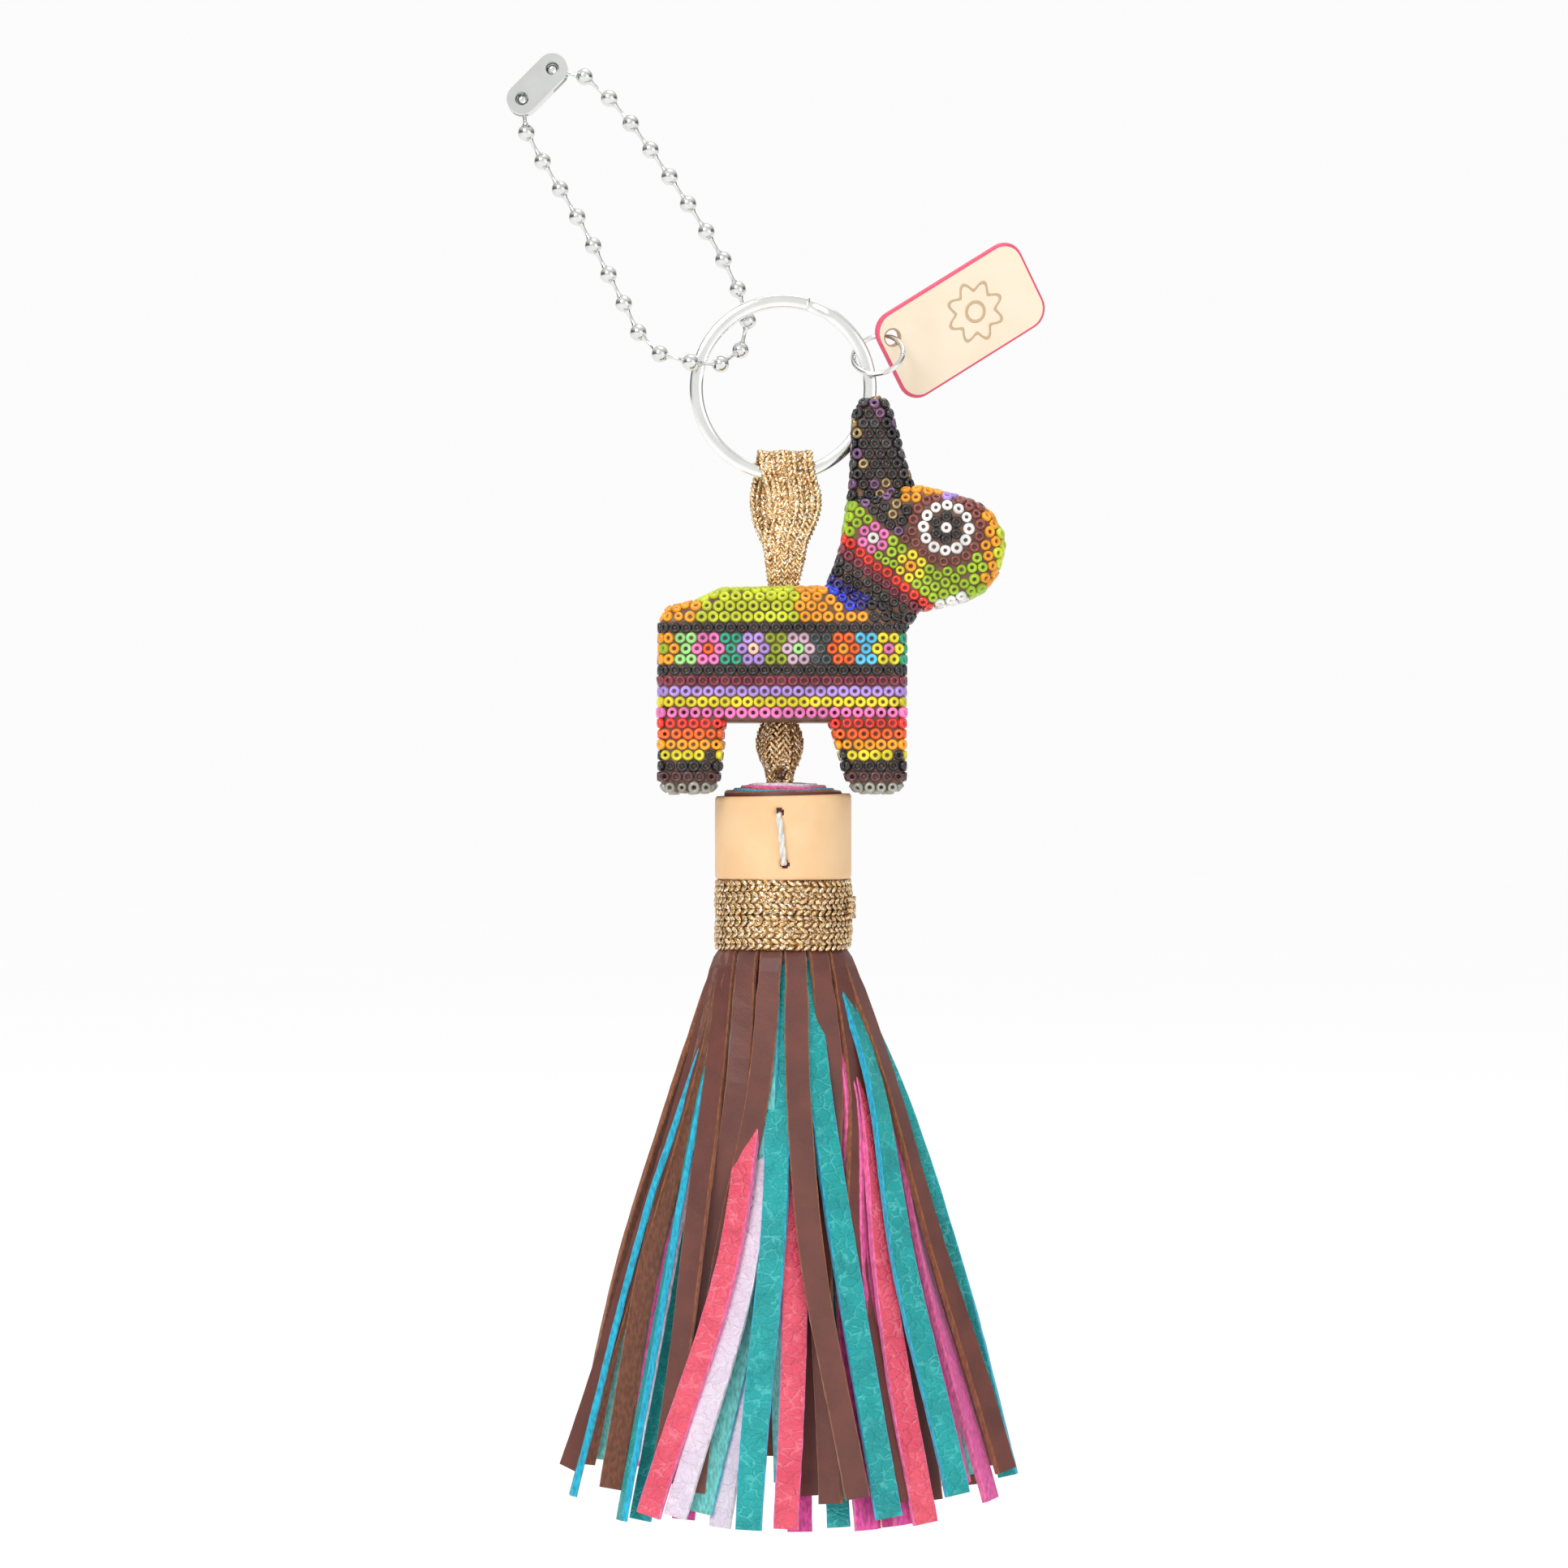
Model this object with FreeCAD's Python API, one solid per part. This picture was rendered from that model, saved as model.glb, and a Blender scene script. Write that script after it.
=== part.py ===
import FreeCAD, Part
import math
import os

# A beaded donkey pinata charm on a key ring, hanging upright.
# Millimetres, +Z up, +X towards the donkey's muzzle, front faces -Y.
# The origin is the centre of the split ring.

# --- split ring, jump ring and tag ---
RING_OUTER = 16.0
RING_INNER = 13.8
RING_HALF = 1.0
COIL_GAP = 0.1
JUMP_MID = 4.33
JUMP_WIRE = 0.45
JUMP_TILT = 38.0
JUMP_AT = (16.3, 0.0, 5.7)
TAG_LONG = 30.4
TAG_WIDE = 16.4
TAG_THICK = 1.2
TAG_CORNER = 3.6
TAG_TURN = 30.4
TAG_TILT = 25.0
TAG_TIP_AXIS = 62.0
TAG_ON_RING = 42.0
TAG_HOLE = 1.5
HOLE_FROM_END = 2.6
HOLE_FROM_SIDE = 4.2

# --- ball chain ---
BALL_R = 1.45
BALL_WALL = 0.2
BALL_COUNT = 24
LINK_R = 0.32
KNOB_R = 0.57
HOLE_R = 0.48
RUNNER_BALLS = (10, 11, 12)
CONNECTOR_R = 2.6
CONNECTOR_WALL = 0.4
CHAIN_ROUTE = [
    (-39.5, 0.0, 54.5),
    (-34.1, 0.0, 53.4),
    (-25.9, 0.2, 45.1),
    (-12.7, 1.4, 26.2),
    (-7.3, 2.7, 16.0),
    (-6.1, 2.7, 10.6),
    (-7.9, 1.0, 5.8),
    (-11.5, -2.5, 3.7),
    (-16.1, -3.9, 4.1),
    (-21.3, -2.6, 5.7),
    (-24.4, -1.3, 8.8),
    (-26.8, -0.7, 13.4),
    (-34.9, 0.0, 28.6),
    (-43.9, 0.0, 43.5),
    (-44.7, 0.0, 49.3),
]

# --- the donkey: flat profiles with rounded edges ---
FIGURE_Y = -6.5
COAT = 1.5
BODY_HALF = 9.75
NECK_HALF = 6.6
HEAD_HALF = 7.0
EAR_HALF = 4.0
LEG_HALF = 2.7
LEG_OUT = 7.05
BELLY_Z = -57.5
COAT_END_Z = -56.8
BORE_R = 2.9
TORSO = [
    (-21.3, -60.0),
    (-21.3, -40.6),
    (-19.9, -37.8),
    (-15.0, -36.8),
    (-10.3, -34.6),
    (8.0, -34.4),
    (17.0, -36.5),
    (20.9, -41.0),
    (20.9, -60.0),
]
NECK = [
    (6.6, -35.0),
    (8.6, -30.8),
    (9.7, -26.8),
    (10.8, -19.9),
    (22.4, -17.4),
    (26.0, -28.0),
    (23.0, -38.9),
    (20.9, -42.5),
    (11.0, -42.5),
]
HEAD = [
    (18.5, -18.4),
    (22.8, -17.1),
    (28.0, -18.4),
    (32.4, -19.8),
    (35.4, -21.9),
    (37.4, -25.0),
    (37.8, -28.4),
    (36.6, -32.4),
    (34.2, -35.4),
    (30.8, -37.1),
    (22.8, -38.9),
    (17.0, -36.0),
]
EAR = [
    (10.2, -24.0),
    (11.2, -15.9),
    (11.6, -5.0),
    (13.0, -2.5),
    (17.1, -1.9),
    (18.5, -4.1),
    (20.6, -11.7),
    (22.4, -17.4),
    (24.0, -24.0),
]
FRONT_LEG = [
    (6.6, -54.0),
    (7.6, -57.4),
    (9.7, -64.4),
    (10.7, -67.9),
    (12.6, -69.7),
    (19.2, -69.7),
    (20.9, -68.0),
    (20.9, -54.0),
]
HIND_LEG = [
    (-21.3, -54.0),
    (-21.3, -68.0),
    (-19.6, -69.7),
    (-12.4, -69.7),
    (-10.7, -68.0),
    (-9.7, -58.1),
    (-9.0, -54.0),
]
EYE_AT = (27.5, -24.7)
EYE_R = 4.6
EYE_PROUD = 0.5

# --- gold ribbon ---
RIBBON_T = 1.0
RIBBON_TOP_Z = -10.8
LOOP_WIDE = 6.6
LOOP_NARROW = 2.9
NECK_AT_X = -0.6
CORE_R = 2.6

# --- tassel ---
CAP_R = 11.6
CAP_WALL = 1.3
CAP_TOP_Z = -70.0
CAP_END_Z = -83.9
STITCH_HOLES = [(-0.8, -72.9), (-0.1, -81.4)]
BIND_R = 11.55
BIND_WALL = 1.0
BIND_END_Z = -95.8
ROLL_END_Z = -96.2
FRINGE_TOP_Z = -96.5
LEATHER = 1.1
KNOT_R = 4.2
SPREAD_X0 = 1.7
# name, mid radius in the roll, strips, strip width, roll top, half spread in X and Y
LAYERS = [
    ("brown", 9.55, 16, 3.45, -69.3, 36.0, 24.0),
    ("teal", 8.2, 14, 3.4, -68.8, 31.5, 20.5),
    ("coral", 6.85, 12, 3.3, -68.2, 26.5, 17.0),
    ("lilac", 5.5, 10, 3.1, -67.7, 21.0, 13.0),
]
STRIP_END_Z = -182.0
STRIP_END_SPREAD = 9.0

os.makedirs("parts", exist_ok=True)


def vec(x, y, z):
    return FreeCAD.Vector(x, y, z)


def export(shape, node):
    if not shape.isValid():
        print("NOT VALID", node)
    shape.exportStep("parts/" + node + ".step")


def inset(points, distance):
    """Moves every side of a closed outline inwards by one distance."""
    area = 0.0
    for (ax, az), (bx, bz) in zip(points, points[1:] + points[:1]):
        area += ax * bz - bx * az
    side = 1.0 if area > 0 else -1.0
    moved = []
    count = len(points)
    for i in range(count):
        ax, az = points[i - 1]
        bx, bz = points[i]
        cx, cz = points[(i + 1) % count]
        in_len = math.hypot(bx - ax, bz - az)
        out_len = math.hypot(cx - bx, cz - bz)
        n1 = (-(bz - az) / in_len * side, (bx - ax) / in_len * side)
        n2 = (-(cz - bz) / out_len * side, (cx - bx) / out_len * side)
        scale = distance / (1.0 + n1[0] * n2[0] + n1[1] * n2[1])
        moved.append((bx + (n1[0] + n2[0]) * scale, bz + (n1[1] + n2[1]) * scale))
    return moved


def outline_wire(points, y):
    ring = [vec(x, y, z) for x, z in points]
    return Part.makePolygon(ring + ring[:1])


def rounded_slab(points, half, rounding, y_mid):
    """An outline in XZ given thickness in Y, its two rims eased in two steps."""
    steps = [
        (-half, rounding * 0.75),
        (-half + rounding * 0.3, rounding * 0.25),
        (-half + rounding, 0.0),
        (half - rounding, 0.0),
        (half - rounding * 0.3, rounding * 0.25),
        (half, rounding * 0.75),
    ]
    wires = [outline_wire(inset(points, d), y_mid + y) for y, d in steps]
    return Part.makeLoft(wires, True, True)


def box_between(x0, x1, y0, y1, z0, z1):
    return Part.makeBox(x1 - x0, y1 - y0, z1 - z0, vec(x0, y0, z0))


def tube(outer, inner, z_low, z_high, x=0.0, y=FIGURE_Y):
    solid = Part.makeCylinder(outer, z_high - z_low, vec(x, y, z_low))
    return solid.cut(Part.makeCylinder(inner, z_high - z_low, vec(x, y, z_low)))


def split_ring():
    """One flat wire wound twice, the two coils joined at the crank."""
    ease = 0.3
    coil = RING_HALF - COIL_GAP / 2
    section = [
        (RING_INNER + ease, 0.0),
        (RING_OUTER - ease, 0.0),
        (RING_OUTER, ease),
        (RING_OUTER, coil),
        (RING_INNER, coil),
        (RING_INNER, ease),
    ]
    face_front = Part.Face(Part.makePolygon([vec(r, y - RING_HALF, 0) for r, y in section + section[:1]]))
    face_back = Part.Face(Part.makePolygon([vec(r, RING_HALF - y, 0) for r, y in section + section[:1]]))
    front = face_front.revolve(vec(0, 0, 0), vec(0, 1, 0), 360)
    back = face_back.revolve(vec(0, 0, 0), vec(0, 1, 0), 360)
    crank = Part.Face(Part.makePolygon([
        vec(RING_INNER, -coil, 0),
        vec(RING_OUTER, -coil, 0),
        vec(RING_OUTER, coil, 0),
        vec(RING_INNER, coil, 0),
        vec(RING_INNER, -coil, 0),
    ])).revolve(vec(0, 0, 0), vec(0, 1, 0), 14)
    crank.rotate(vec(0, 0, 0), vec(0, 1, 0), -72)
    ring = front.fuse([back, crank])
    end_front = box_between(-0.12, 0.12, -RING_HALF - 1, 0, RING_INNER - 1, RING_OUTER + 1)
    end_front.rotate(vec(0, 0, 0), vec(0, 1, 0), 28)
    end_back = box_between(-0.12, 0.12, 0, RING_HALF + 1, RING_INNER - 1, RING_OUTER + 1)
    end_back.rotate(vec(0, 0, 0), vec(0, 1, 0), 8)
    return ring.cut(end_front).cut(end_back)


def jump_axes():
    """Directions of the jump ring: outwards, round the big ring, and its normal."""
    angle = math.atan2(JUMP_AT[2], JUMP_AT[0])
    out = vec(math.cos(angle), 0, math.sin(angle))
    lean = math.radians(JUMP_TILT)
    around = vec(-math.sin(angle) * math.cos(lean), math.sin(lean), math.cos(angle) * math.cos(lean))
    return out, around, out.cross(around)


def jump_point(turn):
    """Centre of the jump ring's wire, turn degrees round from outwards."""
    out, around, _ = jump_axes()
    t = math.radians(turn)
    return vec(*JUMP_AT) + out * (JUMP_MID * math.cos(t)) + around * (JUMP_MID * math.sin(t))


def jump_ring():
    _, _, normal = jump_axes()
    ring = Part.makeTorus(JUMP_MID, JUMP_WIRE, vec(*JUMP_AT), normal)
    cut = Part.makeBox(2, 0.12, 2, vec(-1, -0.06, -1))
    cut.Placement = FreeCAD.Placement(jump_point(-25), FreeCAD.Rotation(vec(0, 1, 0), jump_tangent(-25)))
    return ring.cut(cut)


def jump_tangent(turn):
    return (jump_point(turn + 0.5) - jump_point(turn - 0.5)).normalize()


def place_on_ring(shape):
    """Turns and tips a shape drawn round the tag's hole to where the tag hangs."""
    hole = jump_point(TAG_ON_RING)
    shape.rotate(vec(0, 0, 0), vec(0, 1, 0), -TAG_TURN)
    tip = math.radians(TAG_TIP_AXIS)
    shape.rotate(vec(0, 0, 0), vec(math.cos(tip), 0, math.sin(tip)), TAG_TILT)
    shape.translate(hole)
    return shape


def leather_tag():
    x0 = -HOLE_FROM_END
    x1 = x0 + TAG_LONG
    z1 = HOLE_FROM_SIDE
    z0 = z1 - TAG_WIDE
    plate = box_between(x0, x1, -TAG_THICK / 2, TAG_THICK / 2, z0, z1)
    upright = [e for e in plate.Edges if abs(e.Vertexes[0].Y - e.Vertexes[1].Y) > TAG_THICK / 2]
    plate = plate.makeFillet(TAG_CORNER, upright)
    hole = Part.makeCylinder(TAG_HOLE, 4 * TAG_THICK, vec(0, -2 * TAG_THICK, 0), vec(0, 1, 0))
    return place_on_ring(plate.cut(hole))


def chain_points():
    """Ball centres, evenly spaced along the chain's route."""
    curve = Part.BSplineCurve()
    curve.interpolate([vec(*p) for p in CHAIN_ROUTE])
    edge = curve.toShape()
    return edge.discretize(Number=BALL_COUNT)


def chain_ball(points, i):
    """A hollow ball with a hole towards each neighbour."""
    centre = points[i]
    ball = Part.makeSphere(BALL_R, centre)
    ball = ball.cut(Part.makeSphere(BALL_R - BALL_WALL, centre))
    for j in (i - 1, i + 1):
        if 0 <= j < len(points):
            way = points[j] - centre
            ball = ball.cut(Part.makeCylinder(HOLE_R, BALL_R * 1.5, centre, way))
    return ball


def chain_link(points, i):
    """The wire from ball i to the next, with a rounded knob inside each ball."""
    start = points[i]
    way = points[i + 1] - start
    length = way.Length
    inside = BALL_R - BALL_WALL - KNOB_R - 0.02
    neck = math.sqrt(KNOB_R**2 - LINK_R**2)
    low = vec(0, 0, inside - KNOB_R)
    low_side = vec(KNOB_R, 0, inside)
    low_neck = vec(LINK_R, 0, inside + neck)
    high_neck = vec(LINK_R, 0, length - inside - neck)
    high_side = vec(KNOB_R, 0, length - inside)
    high = vec(0, 0, length - inside + KNOB_R)
    slant = KNOB_R * math.sqrt(0.5)
    edges = [
        Part.Arc(low, vec(slant, 0, inside - slant), low_side).toShape(),
        Part.Arc(low_side, vec(slant, 0, inside + slant), low_neck).toShape(),
        Part.makeLine(low_neck, high_neck),
        Part.Arc(high_neck, vec(slant, 0, length - inside - slant), high_side).toShape(),
        Part.Arc(high_side, vec(slant, 0, length - inside + slant), high).toShape(),
        Part.makeLine(high, low),
    ]
    link = Part.Face(Part.Wire(edges)).revolve(vec(0, 0, 0), vec(0, 0, 1), 360)
    link.Placement = FreeCAD.Placement(start, FreeCAD.Rotation(vec(0, 0, 1), way))
    return link


def stadium(a, b, radius, y0, y1):
    """A round-ended block from a to b in XZ."""
    way = b - a
    block = Part.makeCylinder(radius, y1 - y0, vec(a.x, y0, a.z), vec(0, 1, 0))
    other = Part.makeCylinder(radius, y1 - y0, vec(b.x, y0, b.z), vec(0, 1, 0))
    across = vec(-way.z, 0, way.x).normalize() * radius
    corners = [a + across, b + across, b - across, a - across, a + across]
    middle = Part.Face(Part.makePolygon([vec(p.x, y0, p.z) for p in corners]))
    return block.fuse([other, middle.extrude(vec(0, y1 - y0, 0))]).removeSplitter()


def chain_connector(points):
    """A folded sheet that holds both end balls and lets the first snap out sideways."""
    held = points[-1]
    free = points[0]
    mid_y = (held.y + free.y) / 2
    shell = stadium(held, free, CONNECTOR_R, mid_y - 2.2, mid_y + 2.2)
    room = stadium(held, free, CONNECTOR_R - CONNECTOR_WALL, mid_y - 1.8, mid_y + 3.0)
    shell = shell.cut(room)
    for end in (held, free):
        window = Part.makeCylinder(1.15, 3.0, vec(end.x, mid_y - 3.0, end.z), vec(0, 1, 0))
        shell = shell.cut(window)
    for neighbour, end in ((points[-2], held), (points[1], free)):
        shell = shell.cut(Part.makeCylinder(0.75, 6.0, end, neighbour - end))
    for turn in range(0, 45, 6):
        tail_gate = Part.makeCylinder(0.75, 6.0, held, points[-2] - held)
        tail_gate.rotate(held, vec(0, 1, 0), turn)
        shell = shell.cut(tail_gate)
        spot = vec(free.x, 0, free.z)
        gate = Part.makeCylinder(BALL_R + 0.35, 3.6, vec(spot.x, mid_y - 1.79, spot.z), vec(0, 1, 0))
        gate.rotate(held, vec(0, 1, 0), turn)
        shell = shell.cut(gate)
        link_gate = Part.makeCylinder(0.75, 6.0, free, points[1] - free)
        link_gate.rotate(held, vec(0, 1, 0), turn)
        shell = shell.cut(link_gate)
    return shell


def figure_parts(coat):
    """The donkey's solid pieces, drawn inside the bead coat by the given depth."""
    y = FIGURE_Y
    pieces = []
    torso = rounded_slab(inset(TORSO, coat), BODY_HALF - coat, 4.2 - coat, y)
    low = BELLY_Z if coat else COAT_END_Z
    torso = torso.common(box_between(-30, 30, y - 20, y + 20, low, -30))
    pieces.append(torso)
    pieces.append(rounded_slab(inset(NECK, coat), NECK_HALF - coat, 3.6 - coat, y))
    pieces.append(rounded_slab(inset(HEAD, coat), HEAD_HALF - coat, 4.0 - coat, y))
    pieces.append(rounded_slab(inset(EAR, coat), EAR_HALF - coat, 2.4 - coat / 2, y))
    for side in (-1, 1):
        for outline in (FRONT_LEG, HIND_LEG):
            leg = rounded_slab(inset(outline, coat), LEG_HALF - coat, 1.6 - coat / 2, y + side * LEG_OUT)
            pieces.append(leg)
    return pieces


def figure():
    """The core with its bore, and the whole bead coat round it."""
    outer = figure_parts(0.0)
    inner = figure_parts(COAT)
    skin = outer[0].fuse(outer[1:])
    core = inner[0].fuse(inner[1:])
    coat = skin.cut(core)
    bore = Part.makeCylinder(BORE_R, 40, vec(0, FIGURE_Y, -65))
    return core.cut(bore), coat.cut(bore)


def largest(shape):
    return max(shape.Solids, key=lambda s: s.Volume)


def bead_regions(coat):
    """Names each part of the bead coat and the block of space that holds it."""
    y = FIGURE_Y
    far = 60.0
    legs = COAT_END_Z - 0.001
    return {
        "beads_body": box_between(-far, far, y - far, y + far, COAT_END_Z, -39.6),
        "beads_back": box_between(-far, 6.9, y - far, y + far, -39.6, far),
        "beads_neck": box_between(6.9, 21.5, y - far, y + far, -39.6, -18.0),
        "beads_head": box_between(21.5, far, y - far, y + far, -39.6, -17.4 + 0.6),
        "beads_ears": box_between(6.9, 21.5, y - far, y + far, -18.0, far),
        "beads_leg_front_near": box_between(0, far, y - far, y, -far * 2, legs),
        "beads_leg_front_far": box_between(0, far, y, y + far, -far * 2, legs),
        "beads_leg_hind_near": box_between(-far, 0, y - far, y, -far * 2, legs),
        "beads_leg_hind_far": box_between(-far, 0, y, y + far, -far * 2, legs),
    }


def bead_eye(side):
    y = FIGURE_Y + side * HEAD_HALF
    low = y if side > 0 else y - EYE_PROUD
    return Part.makeCylinder(EYE_R, EYE_PROUD, vec(EYE_AT[0], low, EYE_AT[1]), vec(0, 1, 0))


def ribbon_loop():
    """The flat braid over the foot of the split ring, both tails leading to the bore."""
    y = FIGURE_Y
    path = [
        (y - 0.8, -34.0),
        (y - 0.6, -31.5),
        (-3.6, -20.0),
        (-3.0, -17.0),
        (-3.0, -14.0),
        (-2.1, -12.1),
        (0.0, RIBBON_TOP_Z - RIBBON_T / 2),
        (2.1, -12.1),
        (3.0, -14.0),
        (2.8, -17.4),
        (-1.6, -24.5),
        (y + 0.9, -31.5),
        (y + 0.8, -34.0),
    ]
    rail = Part.makePolygon([vec(0, py, pz) for py, pz in path])
    band = rail.makeOffset2D(RIBBON_T / 2 - 0.05, 2, True, True)
    strap = band.extrude(vec(2 * LOOP_WIDE, 0, 0))
    strap.translate(vec(-LOOP_WIDE, 0, 0))
    front = [
        (-2.6, -34.2),
        (-5.6, -22.0),
        (-LOOP_WIDE, -16.5),
        (-4.6, -10.5),
        (4.7, -10.5),
        (LOOP_WIDE, -18.8),
        (5.2, -24.0),
        (3.2, -34.2),
    ]
    shape = Part.Face(outline_wire(front, -20)).extrude(vec(0, 40, 0))
    return strap.common(shape)


def ribbon_neck():
    """The bunched braid between the belly and the tassel."""
    profile = [
        (0.0, -57.9),
        (2.3, -57.9),
        (3.4, -62.0),
        (3.5, -64.5),
        (2.8, -66.9),
        (0.0, -66.9),
    ]
    face = Part.Face(Part.makePolygon([vec(NECK_AT_X + r, FIGURE_Y, z) for r, z in profile + profile[:1]]))
    return face.revolve(vec(NECK_AT_X, FIGURE_Y, 0), vec(0, 0, 1), 360)


def leather_cap():
    """A leather band with a butt seam behind and two stitch holes in front."""
    cap = tube(CAP_R, CAP_R - CAP_WALL, CAP_END_Z, CAP_TOP_Z)
    cap = cap.cut(box_between(-0.12, 0.12, FIGURE_Y, FIGURE_Y + 20, -100, -60))
    for x, z in STITCH_HOLES:
        cap = cap.cut(Part.makeCylinder(0.6, 10, vec(x, FIGURE_Y - 14, z), vec(0, 1, 0)))
    return cap


def stitch_thread():
    """One thick thread down the front, each end turned in through its hole."""
    out = FIGURE_Y - CAP_R - 0.75
    top = vec(STITCH_HOLES[0][0], out, STITCH_HOLES[0][1])
    low = vec(STITCH_HOLES[1][0], out, STITCH_HOLES[1][1])
    way = low - top
    pieces = [Part.makeSphere(0.7, low), Part.makeCylinder(0.7, way.Length, top, way)]
    for end in (top, low):
        pieces.append(Part.makeCylinder(0.45, 0.75 + CAP_WALL, end, vec(0, 1, 0)))
    return Part.makeSphere(0.7, top).fuse(pieces)


def binding_turn(z_low, z_high):
    """One turn of the braid, its outer edges eased."""
    inner = BIND_R - BIND_WALL
    profile = [
        (inner, z_low),
        (BIND_R - 0.35, z_low),
        (BIND_R, z_low + 0.5),
        (BIND_R, z_high - 0.5),
        (BIND_R - 0.35, z_high),
        (inner, z_high),
    ]
    face = Part.Face(Part.makePolygon([vec(r, FIGURE_Y, z) for r, z in profile + profile[:1]]))
    return face.revolve(vec(0, FIGURE_Y, 0), vec(0, 0, 1), 360)


def binding_end():
    """The braid's tail, tucked flat against the turns on the muzzle side."""
    sector = box_between(5, 20, FIGURE_Y - 4.2, FIGURE_Y + 1.5, -91.2, -87.4)
    return tube(BIND_R + 0.9, BIND_R + 0.02, -91.2, -87.4).common(sector)


def strip_wire(x, y, z, angle, width, thick):
    """A strip's cross-section: wide along the tangent, thin outwards."""
    out = vec(math.cos(angle), math.sin(angle), 0)
    along = vec(-math.sin(angle), math.cos(angle), 0)
    centre = vec(x, y, z)
    corners = []
    for a, o in ((-1, -1), (1, -1), (1, 1), (-1, 1)):
        corners.append(centre + along * (a * width / 2) + out * (o * thick / 2))
    return Part.makePolygon(corners + corners[:1])


def fringe(layer, front):
    """Half of one leather's strips, flaring from the binding to their cut ends."""
    _, radius, count, width, _, spread_x, spread_y = layer
    strips = []
    for i in range(count):
        angle = (i + 0.5) * 2 * math.pi / count
        if (math.sin(angle) < 0) != front:
            continue
        top = strip_wire(
            radius * math.cos(angle),
            FIGURE_Y + radius * math.sin(angle),
            FRINGE_TOP_Z,
            angle,
            width,
            LEATHER,
        )
        end_z = STRIP_END_Z - STRIP_END_SPREAD * ((i * 0.618 + radius) % 1.0)
        lean = math.atan2(math.sin(angle) / spread_y, math.cos(angle) / spread_x)
        low = strip_wire(
            SPREAD_X0 + spread_x * math.cos(angle),
            FIGURE_Y + spread_y * math.sin(angle),
            end_z,
            lean,
            width,
            LEATHER,
        )
        strips.append(Part.makeLoft([top, low], True, True))
    return Part.makeCompound(strips)


def main():
    export(split_ring(), "split_ring")
    export(jump_ring(), "jump_ring")
    export(leather_tag(), "leather_tag")

    points = chain_points()
    first, last = RUNNER_BALLS[0], RUNNER_BALLS[-1]
    groups = {
        "chain_balls_runner": [chain_ball(points, i) for i in RUNNER_BALLS],
        "chain_balls_right": [chain_ball(points, i) for i in range(0, first)],
        "chain_balls_left": [chain_ball(points, i) for i in range(last + 1, BALL_COUNT)],
        "chain_links_runner": [chain_link(points, i) for i in range(first, last)],
        "chain_links_right": [chain_link(points, i) for i in range(0, first)],
        "chain_links_left": [chain_link(points, i) for i in range(last, BALL_COUNT - 1)],
    }
    for node, solids in groups.items():
        export(Part.makeCompound(solids), node)
    export(chain_connector(points), "chain_connector")

    core, coat = figure()
    export(largest(core), "figure_core")
    for node, region in bead_regions(coat).items():
        export(largest(coat.common(region)), node)
    export(Part.makeCompound([bead_eye(-1), bead_eye(1)]), "beads_eyes")

    export(ribbon_loop(), "ribbon_loop")
    export(Part.makeCylinder(CORE_R, 22.9, vec(0, FIGURE_Y, -57.3)), "ribbon_core")
    export(ribbon_neck(), "ribbon_neck")
    export(Part.makeCylinder(KNOT_R, 24.0, vec(0, FIGURE_Y, -91.5)), "ribbon_knot")

    export(leather_cap(), "leather_cap")
    export(stitch_thread(), "stitch_thread")
    half = (CAP_END_Z + BIND_END_Z) / 2
    export(binding_turn(half + 0.1, CAP_END_Z - 0.1), "binding_turn_upper")
    export(binding_turn(BIND_END_Z, half - 0.1), "binding_turn_lower")
    export(binding_end(), "binding_end")
    for layer in LAYERS:
        name, radius = layer[0], layer[1]
        roll = tube(radius + LEATHER / 2, radius - LEATHER / 2, ROLL_END_Z, layer[4])
        export(roll, name + "_roll")
        export(fringe(layer, True), name + "_fringe_front")
        export(fringe(layer, False), name + "_fringe_back")


main()
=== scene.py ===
"""A beaded donkey pinata charm: split ring, ball chain, tag, beaded figure and leather tassel.

Every length is in millimetres until a mesh is made, in the frame of the CAD part: the origin is the
split ring's centre, +Z is up and +X is towards the donkey's muzzle.
"""

import logging
import math
from dataclasses import dataclass, field
from enum import Enum
from typing import Any, Callable, Sequence

import bpy
import numpy as np
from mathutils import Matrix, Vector
from mathutils.geometry import tessellate_polygon


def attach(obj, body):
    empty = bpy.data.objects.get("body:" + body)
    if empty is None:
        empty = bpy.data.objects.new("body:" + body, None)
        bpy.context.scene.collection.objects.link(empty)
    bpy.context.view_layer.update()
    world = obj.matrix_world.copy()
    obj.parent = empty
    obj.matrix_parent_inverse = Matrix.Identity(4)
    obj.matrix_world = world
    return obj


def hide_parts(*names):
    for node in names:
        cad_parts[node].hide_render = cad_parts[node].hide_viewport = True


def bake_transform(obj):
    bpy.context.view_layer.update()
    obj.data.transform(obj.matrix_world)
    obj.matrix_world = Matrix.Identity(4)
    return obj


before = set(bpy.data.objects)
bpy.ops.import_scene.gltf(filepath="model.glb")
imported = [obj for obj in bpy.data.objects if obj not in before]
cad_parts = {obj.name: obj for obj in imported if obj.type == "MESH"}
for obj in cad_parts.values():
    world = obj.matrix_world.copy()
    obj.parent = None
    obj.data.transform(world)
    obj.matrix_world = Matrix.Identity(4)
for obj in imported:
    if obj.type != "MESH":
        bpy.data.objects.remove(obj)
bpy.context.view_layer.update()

LOG = logging.getLogger("pinata_charm")
MM = 0.001
FIGURE_Y = -6.5
UP = np.array([0.0, 0.0, 1.0])
AXIS = np.array([0.0, FIGURE_Y, 0.0])
Array = np.ndarray
Colour = tuple[float, float, float]
Faces = list[tuple[int, ...]]
Shape = tuple[Array, Faces]
Materials = Sequence[bpy.types.Material]


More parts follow.
